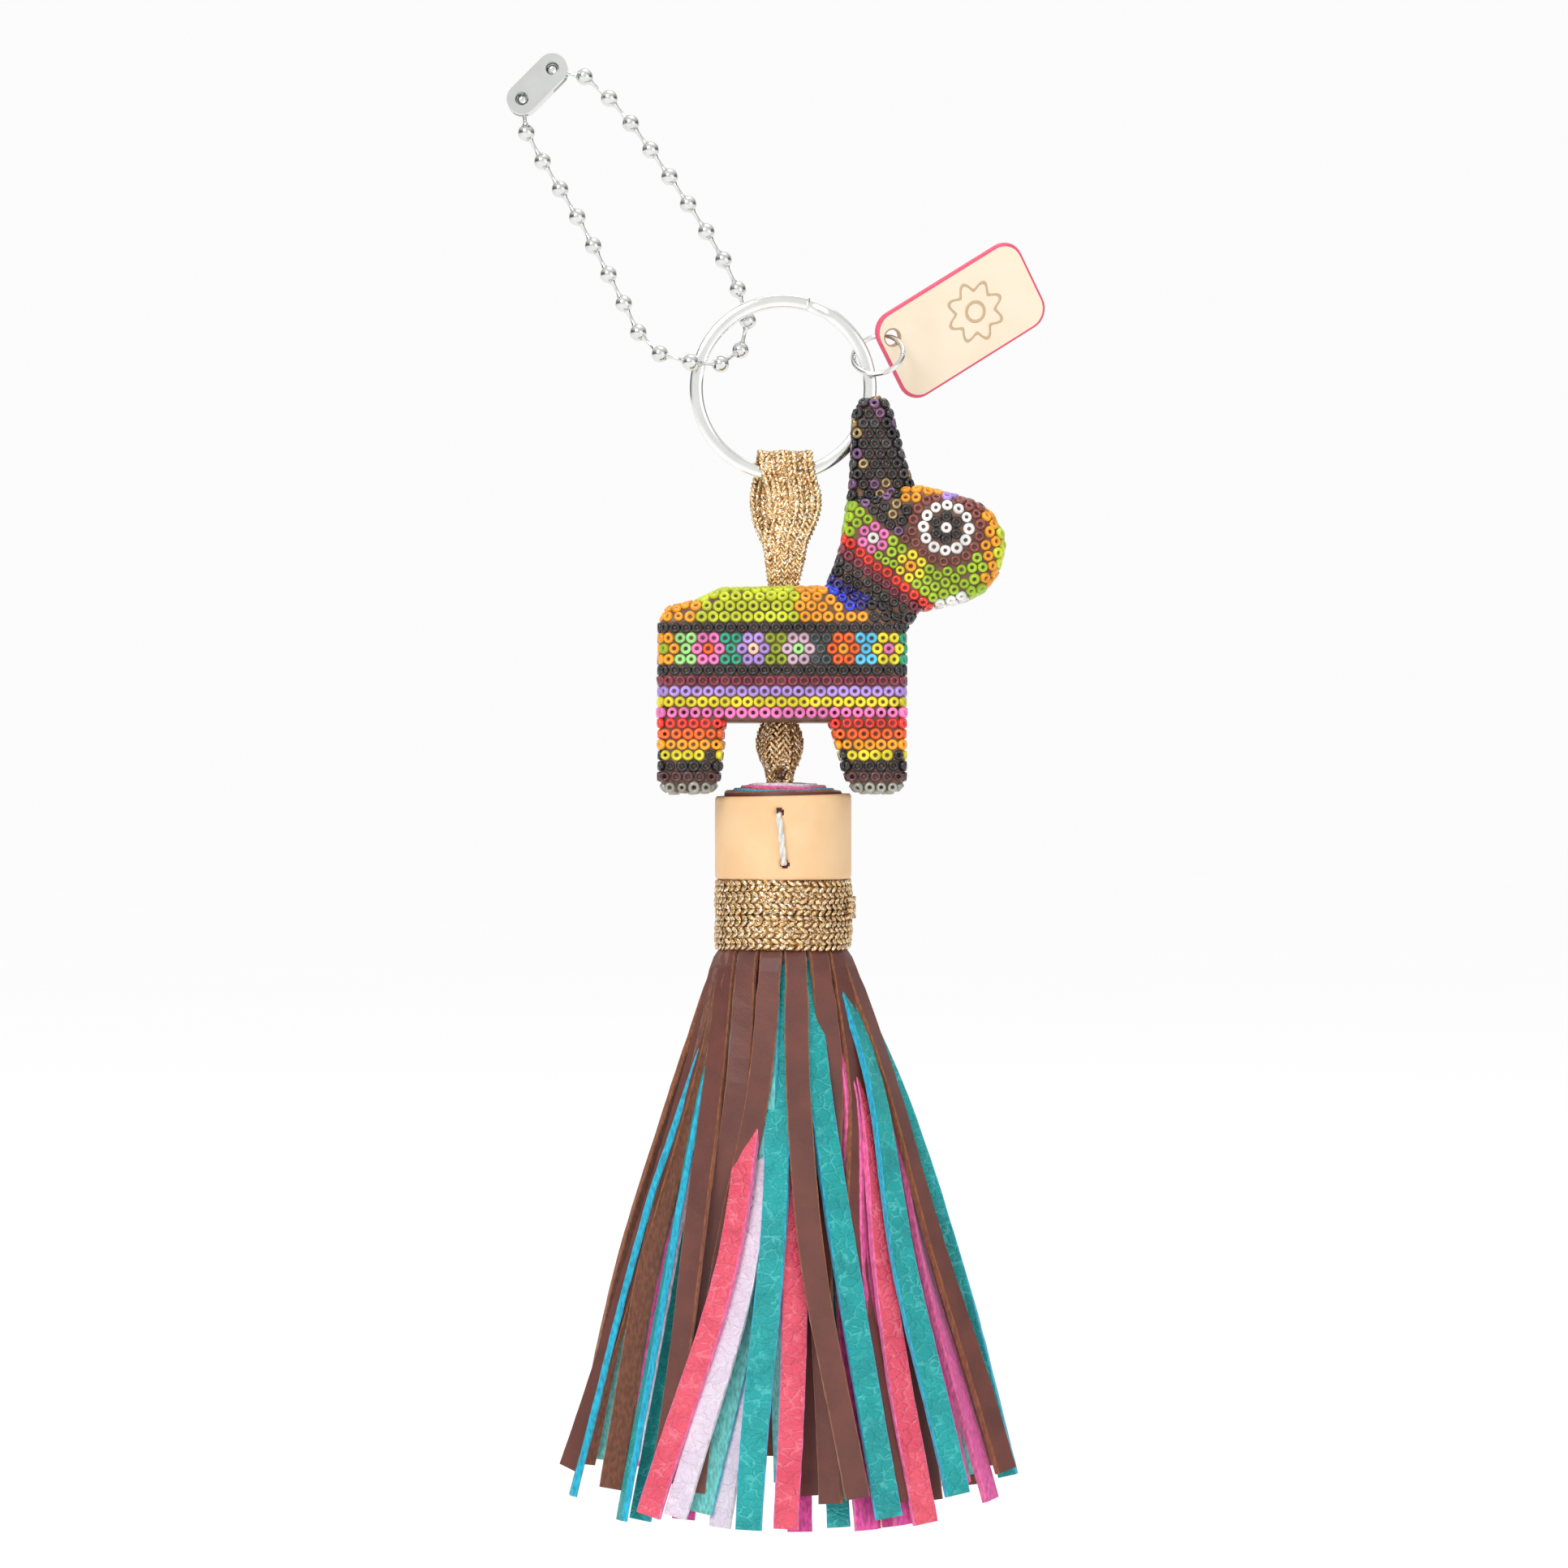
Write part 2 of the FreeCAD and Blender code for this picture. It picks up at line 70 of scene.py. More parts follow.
class Part(Enum):
    """The record's finishes, by the name of their slot."""

    RING = "ring_steel"
    CHAIN = "chain_metal"
    TAG = "tag_leather"
    BRAID = "gold_braid"
    CORE = "carved_core"
    BEADS = "seed_beads"
    CAP = "cap_leather"
    THREAD = "stitch_thread"
    BROWN = "brown_leather"
    TEAL = "teal_leather"
    CORAL = "coral_leather"
    LILAC = "lilac_leather"


# ---------------------------------------------------------------- shading


class Wire:
    """A socket that takes part in plain arithmetic."""

    def __init__(self, shade: "Nodes", socket: bpy.types.NodeSocket) -> None:
        """Keeps the nodes it belongs to and the socket."""
        self.shade = shade
        self.socket = socket

    def _math(self, operation: str, first: Any, second: Any) -> "Wire":
        """Adds one Math node."""
        return self.shade.node("ShaderNodeMath", {"operation": operation}, {0: first, 1: second})

    def __add__(self, other: Any) -> "Wire":
        """Adds."""
        return self._math("ADD", self, other)

    def __radd__(self, other: Any) -> "Wire":
        """Adds, from the right."""
        return self._math("ADD", other, self)

    def __sub__(self, other: Any) -> "Wire":
        """Subtracts."""
        return self._math("SUBTRACT", self, other)

    def __rsub__(self, other: Any) -> "Wire":
        """Subtracts from a number."""
        return self._math("SUBTRACT", other, self)

    def __mul__(self, other: Any) -> "Wire":
        """Multiplies."""
        return self._math("MULTIPLY", self, other)

    def __rmul__(self, other: Any) -> "Wire":
        """Multiplies, from the right."""
        return self._math("MULTIPLY", other, self)

    def above(self, level: float, soft: float) -> "Wire":
        """Goes from 0 to 1 as the value passes level, over a width of soft."""
        return self.shade.node(
            "ShaderNodeMapRange",
            {"interpolation_type": "SMOOTHSTEP"},
            {0: self, 1: level - soft, 2: level + soft, 3: 0.0, 4: 1.0},
        )


class Nodes:
    """A tree of shading nodes."""

    def __init__(self, tree: bpy.types.NodeTree) -> None:
        """Keeps the tree."""
        self.tree = tree

    def node(self, kind: str, settings: dict[str, Any], inputs: dict[Any, Any], out: Any = 0) -> Wire:
        """Adds a node.

        Args:
            kind: the node's type.
            settings: its own settings, set before its sockets.
            inputs: what each input socket is given, a number, a colour or a Wire.
            out: the output socket that is wanted.

        Returns:
            The output as a Wire.
        """
        node = self.tree.nodes.new(kind)
        for name, value in settings.items():
            setattr(node, name, value)
        for key, value in inputs.items():
            socket = node.inputs[key]
            if isinstance(value, Wire):
                self.tree.links.new(value.socket, socket)
            elif isinstance(value, tuple) and len(value) == 3 and len(socket.default_value) == 4:
                socket.default_value = (*value, 1.0)
            else:
                socket.default_value = value
        return Wire(self, node.outputs[out])


class Shade(Nodes):
    """One material's nodes, with the Principled shader at their end."""

    def __init__(self, name: str) -> None:
        """Makes the material.

        Args:
            name: the material's name.
        """
        self.material = bpy.data.materials.new(name)
        self.material.use_nodes = True
        super().__init__(self.material.node_tree)
        self.shader = self.tree.nodes["Principled BSDF"]
        self.place = self.node("ShaderNodeTexCoord", {}, {}, "Object")

    def noise(self, scale: float, detail: float = 2.0, place: Wire | None = None) -> Wire:
        """A noise value, its scale in cycles per metre."""
        where = place or self.place
        return self.node("ShaderNodeTexNoise", {}, {"Vector": where, "Scale": scale, "Detail": detail})

    def cells(self, scale: float, feature: str, place: Wire | None = None) -> Wire:
        """A cell pattern's distances, its scale in cells per metre."""
        sockets = {"Vector": place or self.place, "Scale": scale}
        return self.node("ShaderNodeTexVoronoi", {"feature": feature}, sockets, "Distance")

    def stretched(self, x: float, y: float, z: float) -> Wire:
        """The object's coordinates, stretched along its axes."""
        return self.node("ShaderNodeVectorMath", {"operation": "MULTIPLY"}, {0: self.place, 1: (x, y, z)})

    def warped(self, place: Wire, scale: float, reach: float) -> Wire:
        """Coordinates pushed about by noise, reach metres each way."""
        push = self.node("ShaderNodeTexNoise", {}, {"Vector": place, "Scale": scale, "Detail": 1.0}, "Color")
        scaled = self.node("ShaderNodeVectorMath", {"operation": "SCALE"}, {0: push, "Scale": reach})
        return self.node("ShaderNodeVectorMath", {"operation": "ADD"}, {0: place, 1: scaled})

    def mix(self, factor: Any, low: Any, high: Any) -> Wire:
        """Mixes two colours."""
        return self.node("ShaderNodeMix", {"data_type": "RGBA"}, {0: factor, 6: low, 7: high}, 2)

    def finish(self, **sockets: Any) -> bpy.types.Material:
        """Fills the shader's sockets.

        Args:
            sockets: values or Wires, by socket name with spaces as underscores; bump is a pair
                of a height and its depth in metres.

        Returns:
            The material.
        """
        bump = sockets.pop("bump", None)
        if bump:
            height, depth = bump
            bumped = {"Height": height, "Distance": depth, "Strength": 1.0}
            sockets["Normal"] = self.node("ShaderNodeBump", {}, bumped)
        for name, value in sockets.items():
            socket = self.shader.inputs[name.replace("_", " ")]
            if isinstance(value, Wire):
                self.tree.links.new(value.socket, socket)
            else:
                socket.default_value = (*value, 1.0) if isinstance(value, tuple) else value
        return self.material


@dataclass(frozen=True)
class Plate:
    """Polished plated metal with faint wiping marks."""

    name: str
    colour: Colour
    roughness: float

    def make(self) -> bpy.types.Material:
        """Makes the material."""
        s = Shade(self.name)
        haze = s.noise(260.0, 3.0)
        marks = s.noise(900.0, 4.0, s.stretched(1.0, 1.0, 6.0))
        darker = tuple(c * 0.82 for c in self.colour)
        return s.finish(
            Base_Color=s.mix(haze, darker, self.colour),
            Metallic=1.0,
            Roughness=haze * 0.1 + (marks * 0.06 + self.roughness - 0.06),
            bump=(marks, 0.00001),
        )


@dataclass(frozen=True)
class Glass:
    """Seed-bead glass: opaque, glossy, a little uneven from bead to bead."""

    name: str
    colour: Colour
    metallic: float = 0.0

    def make(self) -> bpy.types.Material:
        """Makes the material."""
        s = Shade("glass_" + self.name)
        beadwise = s.noise(330.0, 0.0)
        fine = s.noise(1500.0, 2.0)
        dark = tuple(c * 0.78 for c in self.colour)
        light = tuple(min(1.0, c * 1.12 + 0.012) for c in self.colour)
        tone = s.mix(beadwise.above(0.5, 0.16), dark, light)
        return s.finish(
            Base_Color=s.mix(fine * 0.25, tone, self.colour),
            Metallic=self.metallic,
            Roughness=fine * 0.16 + (0.24 if self.metallic else 0.12),
            Coat_Weight=0.35,
            bump=(fine, 0.00002),
        )


@dataclass(frozen=True)
class Wax:
    """Brown wax over the carved core."""

    name: str = "brown_wax"

    def make(self) -> bpy.types.Material:
        """Makes the material."""
        s = Shade(self.name)
        lumps = s.noise(420.0, 4.0)
        grain = s.noise(1600.0, 3.0)
        return s.finish(
            Base_Color=s.mix(lumps.above(0.5, 0.2), (0.10, 0.042, 0.022), (0.22, 0.105, 0.058)),
            Roughness=grain * 0.3 + 0.25,
            bump=(lumps + grain * 0.4, 0.00012),
        )


@dataclass(frozen=True)
class Braid:
    """Metal-wrapped braid: painted glints and white painted sparkle in its colour; its darker copy paints the
    shade in the gaps.
    """

    name: str
    bright: Colour
    deep: Colour

    def make(self) -> bpy.types.Material:
        """Makes the material."""
        s = Shade(self.name)
        glint = s.noise(1500.0, 2.0)
        painted_sparkle = s.noise(2300.0, 1.0)
        crinkle = s.cells(2600.0, "F1")
        # The glint noise mixes the deep and bright tones, and the sparkle mixes in near-white spots: painted
        # glints and painted highlights in the base colour.
        tone = s.mix(glint.above(0.48, 0.12), self.deep, self.bright)
        return s.finish(
            Base_Color=s.mix(painted_sparkle.above(0.60, 0.05) * 0.9, tone, (1.0, 0.95, 0.82)),
            Metallic=0.85,
            Roughness=glint * 0.3 + 0.12,
            bump=(crinkle, 0.00010),
        )


class Face(Enum):
    """Which surface of a cut strip is being finished."""

    GRAIN = 0
    BACK = 1
    EDGE = 2


@dataclass(frozen=True)
class Hide:
    """One leather, with its grain, its suede back and its cut edges."""

    name: str
    grain: Colour
    deep: Colour
    vein: Colour
    back: Colour
    edge: Colour
    pebble: float

    def make(self, face: Face) -> bpy.types.Material:
        """Makes the material of one of the three surfaces."""
        s = Shade(f"{self.name}_{face.name.lower()}")
        mottle = s.noise(150.0, 3.0)
        if face is Face.GRAIN:
            return self._grain(s, mottle)
        colour = self.back if face is Face.BACK else self.edge
        nap = s.noise(2300.0, 4.0, s.stretched(1.0, 1.0, 0.35))
        dark = tuple(c * 0.58 for c in colour)
        light = tuple(min(1.0, c * 1.22 + 0.01) for c in colour)
        tone = s.mix(nap.above(0.5, 0.2), dark, light)
        return s.finish(
            Base_Color=s.mix(mottle * 0.4, tone, colour),
            Roughness=nap * 0.2 + 0.72,
            Sheen_Weight=0.35,
            bump=(nap, 0.00016),
        )

    def _grain(self, s: Shade, mottle: Wire) -> bpy.types.Material:
        """The grain side: fine pores on smooth hides, pebbles and pale veins on shrunken ones."""
        fine = s.noise(2400.0, 3.0)
        tone = s.mix(mottle.above(0.5, 0.22), self.deep, self.grain)
        if not self.pebble:
            return s.finish(
                Base_Color=s.mix(fine * 0.3, tone, self.vein),
                Roughness=mottle * 0.16 + 0.42,
                bump=(fine, 0.00005),
            )
        where = s.warped(s.warped(s.stretched(1.0, 1.0, 1.35), 420.0, 0.0022), 1500.0, 0.0005)
        crease = s.cells(self.pebble, "DISTANCE_TO_EDGE", place=where)
        small = s.cells(self.pebble * 2.6, "DISTANCE_TO_EDGE", place=where)
        vein = 1 - crease.above(0.05, 0.06)
        patchy = s.noise(300.0, 3.0).above(0.52, 0.16)
        return s.finish(
            Base_Color=s.mix(vein * (patchy * 0.62 + 0.06), tone, self.vein),
            Roughness=0.46 - vein * 0.08 + mottle * 0.12,
            bump=(crease.above(0.08, 0.10) + small.above(0.05, 0.07) * 0.3 + fine * 0.15, 0.00016),
        )


BROWN = Hide(
    "brown", (0.150, 0.040, 0.028), (0.098, 0.026, 0.020), (0.21, 0.078, 0.056),
    (0.160, 0.048, 0.020), (0.27, 0.082, 0.026), 0.0,
)
TEAL = Hide(
    "teal", (0.002, 0.380, 0.375), (0.001, 0.290, 0.295), (0.10, 0.62, 0.60),
    (0.15, 0.55, 0.52), (0.006, 0.42, 0.62), 430.0,
)
CORAL = Hide(
    "coral", (0.85, 0.100, 0.160), (0.74, 0.068, 0.125), (0.92, 0.24, 0.31),
    (0.76, 0.075, 0.350), (0.90, 0.14, 0.37), 400.0,
)
LILAC = Hide(
    "lilac", (0.80, 0.69, 0.80), (0.71, 0.60, 0.73), (0.87, 0.80, 0.88),
    (0.76, 0.67, 0.77), (0.84, 0.76, 0.84), 300.0,
)
HIDES = {hide.name: hide for hide in (BROWN, TEAL, CORAL, LILAC)}


@dataclass(frozen=True)
class Tanned:
    """Undyed tanned leather, smooth, with soft clouding."""

    name: str
    light: Colour
    dark: Colour

    def make(self) -> bpy.types.Material:
        """Makes the material."""
        s = Shade(self.name)
        cloud = s.noise(110.0, 4.0)
        pores = s.noise(3000.0, 3.0)
        return s.finish(
            Base_Color=s.mix(cloud.above(0.5, 0.25), self.dark, self.light),
            Roughness=cloud * 0.15 + 0.40,
            bump=(pores, 0.00002),
        )


@dataclass(frozen=True)
class Stamped:
    """The tag's face: tanned leather with a pressed eight-petal rosette."""

    name: str
    light: Colour
    dark: Colour
    centre: tuple[float, float]
    radius: float

    def make(self) -> bpy.types.Material:
        """Makes the material; the tag's UV map is its own face in metres."""
        s = Shade(self.name)
        flat = s.node("ShaderNodeUVMap", {"uv_map": "face"}, {})
        x = s.node("ShaderNodeSeparateXYZ", {}, {0: flat}, "X") - self.centre[0] * MM
        z = s.node("ShaderNodeSeparateXYZ", {}, {0: flat}, "Y") - self.centre[1] * MM
        away = s.node("ShaderNodeMath", {"operation": "SQRT"}, {0: x * x + z * z})
        turn = s.node("ShaderNodeMath", {"operation": "ARCTAN2"}, {0: z, 1: x})
        wave = s.node("ShaderNodeMath", {"operation": "COSINE"}, {0: turn * 8.0})
        rim = away * (1 / (self.radius * MM)) - (wave * 0.13 + 0.8)
        line = 1 - s.node("ShaderNodeMath", {"operation": "ABSOLUTE"}, {0: rim}).above(0.045, 0.02)
        heart = away * (1 / (self.radius * MM)) - 0.3
        ring = 1 - s.node("ShaderNodeMath", {"operation": "ABSOLUTE"}, {0: heart}).above(0.045, 0.02)
        press = s.node("ShaderNodeMath", {"operation": "MAXIMUM"}, {0: line, 1: ring})
        cloud = s.noise(110.0, 4.0)
        pores = s.noise(3000.0, 3.0)
        skin = s.mix(cloud.above(0.5, 0.25), self.dark, self.light)
        return s.finish(
            Base_Color=s.mix(press * 0.75, skin, (0.55, 0.33, 0.14)),
            Roughness=cloud * 0.15 + 0.42,
            bump=(pores * 0.12 - press, 0.00014),
        )


@dataclass(frozen=True)
class EdgePaint:
    """Rubbery paint on the tag's cut edge."""

    name: str
    colour: Colour

    def make(self) -> bpy.types.Material:
        """Makes the material."""
        s = Shade(self.name)
        streak = s.noise(700.0, 2.0)
        dark = tuple(c * 0.75 for c in self.colour)
        return s.finish(
            Base_Color=s.mix(streak, dark, self.colour), Roughness=streak * 0.1 + 0.3, bump=(streak, 0.00005)
        )


@dataclass(frozen=True)
class Waxed:
    """Thick waxed thread."""

    name: str
    colour: Colour

    def make(self) -> bpy.types.Material:
        """Makes the material."""
        s = Shade(self.name)
        lay = s.noise(1800.0, 3.0, s.stretched(1.0, 1.0, 0.4))
        dark = tuple(c * 0.7 for c in self.colour)
        return s.finish(
            Base_Color=s.mix(lay.above(0.5, 0.2), dark, self.colour),
            Roughness=lay * 0.2 + 0.45,
            bump=(lay, 0.0001),
        )


# ---------------------------------------------------------------- meshes


@dataclass
class Cloth:
    """Corners and faces being gathered for one object, in millimetres."""

    points: list[Array] = field(default_factory=list)
    faces: Faces = field(default_factory=list)
    kinds: list[int] = field(default_factory=list)
    count: int = 0

    def add(self, points: Array, faces: Sequence[Sequence[int]], kinds: int | Sequence[int] = 0) -> None:
        """Adds a shape.

        Args:
            points: its corners.
            faces: its faces, by corner.
            kinds: the finish of every face, or of each.
        """
        self.points.append(np.asarray(points, float).reshape(-1, 3))
        self.faces += [tuple(int(i) + self.count for i in face) for face in faces]
        self.kinds += [kinds] * len(faces) if isinstance(kinds, int) else list(kinds)
        self.count += len(self.points[-1])

    def build(self, name: str, materials: Materials, smooth: bool = True) -> bpy.types.Object:
        """Makes the object in the scene.

        Args:
            name: the object's name.
            materials: its finishes, in the order of the kinds.
            smooth: whether its faces are shaded smooth.

        Returns:
            The object.
        """
        mesh = bpy.data.meshes.new(name)
        mesh.from_pydata((np.concatenate(self.points) * MM).tolist(), [], self.faces)
        for material in materials:
            mesh.materials.append(material)
        mesh.polygons.foreach_set("material_index", self.kinds)
        mesh.polygons.foreach_set("use_smooth", [smooth] * len(self.faces))
        mesh.update()
        made = bpy.data.objects.new(name, mesh)
        bpy.context.scene.collection.objects.link(made)
        return made


def unit(v: Array) -> Array:
    """The same directions, one long."""
    return v / np.maximum(np.linalg.norm(v, axis=-1, keepdims=True), 1e-9)


def tangents(path: Array) -> Array:
    """The direction of a path at each of its points."""
    return unit(np.gradient(path, axis=0))


def spline(stops: Sequence[Sequence[float]], count: int) -> Array:
    """A smooth path through a few stops, its points evenly spaced."""
    p = np.asarray(stops, float)
    ends = np.vstack([2 * p[0] - p[1], p, 2 * p[-1] - p[-2]])
    fine = []
    for i in range(len(p) - 1):
        a, b, c, d = ends[i : i + 4]
        for t in np.linspace(0, 1, 24, endpoint=False):
            square, cube = 2 * a - 5 * b + 4 * c - d, 3 * b - a - 3 * c + d
            fine.append(0.5 * (2 * b + (c - a) * t + square * t**2 + cube * t**3))
    fine = np.vstack([fine, p[-1:]])
    run = np.concatenate([[0], np.cumsum(np.linalg.norm(np.diff(fine, axis=0), axis=1))])
    at = np.linspace(0, run[-1], count)
    return np.stack([np.interp(at, run, fine[:, k]) for k in range(3)], 1)


def sweep(path: Array, across: Array, section: Array) -> tuple[Array, Faces, list[int]]:
    """Carries a closed section along a path.

    Args:
        path: the points passed, N by 3.
        across: the section's first axis at each point, N by 3.
        section: the section's corners, M by 2, or N by M by 2.

    Returns:
        Corners, faces, and for each face the side of the section it comes from (-1 at an end).
    """
    way = tangents(path)
    across = unit(across - way * np.sum(across * way, 1, keepdims=True))
    up = np.cross(way, across)
    shape = np.broadcast_to(section, (len(path), *np.shape(section)[-2:]))
    points = path[:, None] + shape[..., :1] * across[:, None] + shape[..., 1:] * up[:, None]
    n, m = points.shape[:2]
    faces, sides = [], []
    for i in range(n - 1):
        for k in range(m):
            q = (k + 1) % m
            faces.append((i * m + k, i * m + q, (i + 1) * m + q, (i + 1) * m + k))
            sides.append(k)
    faces += [tuple(reversed(range(m))), tuple(range((n - 1) * m, n * m))]
    sides += [-1, -1]
    return points.reshape(-1, 3), faces, sides


def lathe(profile: Sequence[Sequence[float]], segments: int, closed: bool = True) -> Shape:
    """Turns a profile of (radius, height) round Z; a closed profile joins its ends."""
    r, z = np.asarray(profile, float).T
    a = np.linspace(0, 2 * np.pi, segments, endpoint=False)
    points = np.stack([np.outer(np.cos(a), r), np.outer(np.sin(a), r), np.outer(np.ones(segments), z)], -1)
    m = len(r)
    faces = []
    for i in range(segments):
        j = (i + 1) % segments
        for k in range(m if closed else m - 1):
            q = (k + 1) % m
            faces.append((i * m + k, j * m + k, j * m + q, i * m + q))
    return points.reshape(-1, 3), faces


def stamp(cloth: Cloth, shape: Shape, centres: Array, x: Array, z: Array, sizes: Array) -> None:
    """Sets copies of a small shape about.

    Args:
        cloth: what the copies are added to.
        shape: the corners and faces of one.
        centres: where each goes, N by 3.
        x: the direction of each one's X axis.
        z: the direction of each one's Z axis.
        sizes: the scale of each along its axes, N by 3.
    """
    points, faces = shape
    z = unit(z)
    x = unit(x - z * np.sum(x * z, 1, keepdims=True))
    y = np.cross(z, x)
    turned = np.einsum("nk,mk,nkj->nmj", sizes, points, np.stack([x, y, z], 1)) + centres[:, None]
    quads = np.asarray(faces)
    every = quads[None] + (np.arange(len(centres)) * len(points))[:, None, None]
    cloth.add(turned.reshape(-1, 3), every.reshape(-1, quads.shape[1]))


def circle(angles: Array) -> tuple[Array, Array]:
    """The outward direction and the onward one at angles round Z."""
    c, s, flat = np.cos(angles), np.sin(angles), 0 * angles
    return np.stack([c, s, flat], 1), np.stack([-s, c, flat], 1)


def bar_section(width: float, thick: float, ease: float) -> Array:
    """A flat bar's section with eased corners, its wide faces first and fifth."""
    w, t = width / 2, thick / 2
    corners = [(-w + ease, t), (w - ease, t), (w, t - ease), (w, -t + ease)]
    return np.array(corners + [(-x, -y) for x, y in corners])


def round_section(radius: float, sides: int = 14) -> Array:
    """A round wire's section."""
    a = np.linspace(0, 2 * np.pi, sides, endpoint=False)
    return np.stack([np.cos(a), np.sin(a)], 1) * radius


def settle(piece: bpy.types.Object, body: str, part: Part, *nodes: str) -> bpy.types.Object:
    """Hands a finished piece to its body and hides the CAD nodes it stands for."""
    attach(piece, body)
    if nodes:
        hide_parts(*nodes)
    LOG.info("%s rides on %s: %d faces", piece.name, body, len(piece.data.polygons))
    return piece


# ---------------------------------------------------------------- ring, chain and tag


@dataclass
class SplitRing:
    """The flat wire wound twice round, with its crank and two cut ends."""

    mid: float = 14.9
    width: float = 2.2
    coil: float = 0.98
    crank_at: float = 64.0
    crank_span: float = 9.0

    def build(self) -> None:
        """Winds the wire as one strip."""
        turns = np.linspace(self.crank_span, 720 - self.crank_span, 420)
        side = np.clip((turns - (360 - self.crank_span)) / (2 * self.crank_span), 0, 1)
        y = (side * side * (3 - 2 * side) - 0.5) * self.coil * 1.02
        a = np.radians(self.crank_at + turns)
        path = np.stack([self.mid * np.cos(a), y, self.mid * np.sin(a)], 1)
        out = np.stack([np.cos(a), 0 * a, np.sin(a)], 1)
        cloth = Cloth()
        cloth.add(*sweep(path, out, bar_section(self.width, self.coil, 0.26))[:2])
        piece = cloth.build("split_ring_wire", [Plate("ring_plate", (0.93, 0.93, 0.91), 0.1).make()])
        settle(piece, "key_ring", Part.RING, "split_ring")


@dataclass
class JumpRing:
    """The round-wire ring that carries the tag."""

    centre: tuple[float, float, float] = (16.3, 0.0, 5.7)
    mid: float = 4.33
    wire: float = 0.46
    lean: float = 38.0

    def axes(self) -> tuple[Array, Array]:
        """The ring's outward direction and the one round the big ring."""
        at = math.atan2(self.centre[2], self.centre[0])
        lean = math.radians(self.lean)
        out = np.array([math.cos(at), 0, math.sin(at)])
        around = np.array([-math.sin(at) * math.cos(lean), math.sin(lean), math.cos(at) * math.cos(lean)])
        return out, around

    def point(self, turns: Array) -> Array:
        """Points on the wire's centre line, by degrees from outwards."""
        out, around = self.axes()
        t = np.radians(np.atleast_1d(turns))[:, None]
        return np.array(self.centre) + self.mid * (np.cos(t) * out + np.sin(t) * around)

    def build(self) -> None:
        """Bends the wire, its ends nearly meeting."""
        path = self.point(np.linspace(-24, 334.5, 90))
        across = unit(path - np.array(self.centre))
        cloth = Cloth()
        cloth.add(*sweep(path, across, round_section(self.wire))[:2])
        piece = cloth.build("jump_ring_wire", [Plate("jump_plate", (0.84, 0.84, 0.82), 0.12).make()])
        settle(piece, "jump_link", Part.RING, "jump_ring")


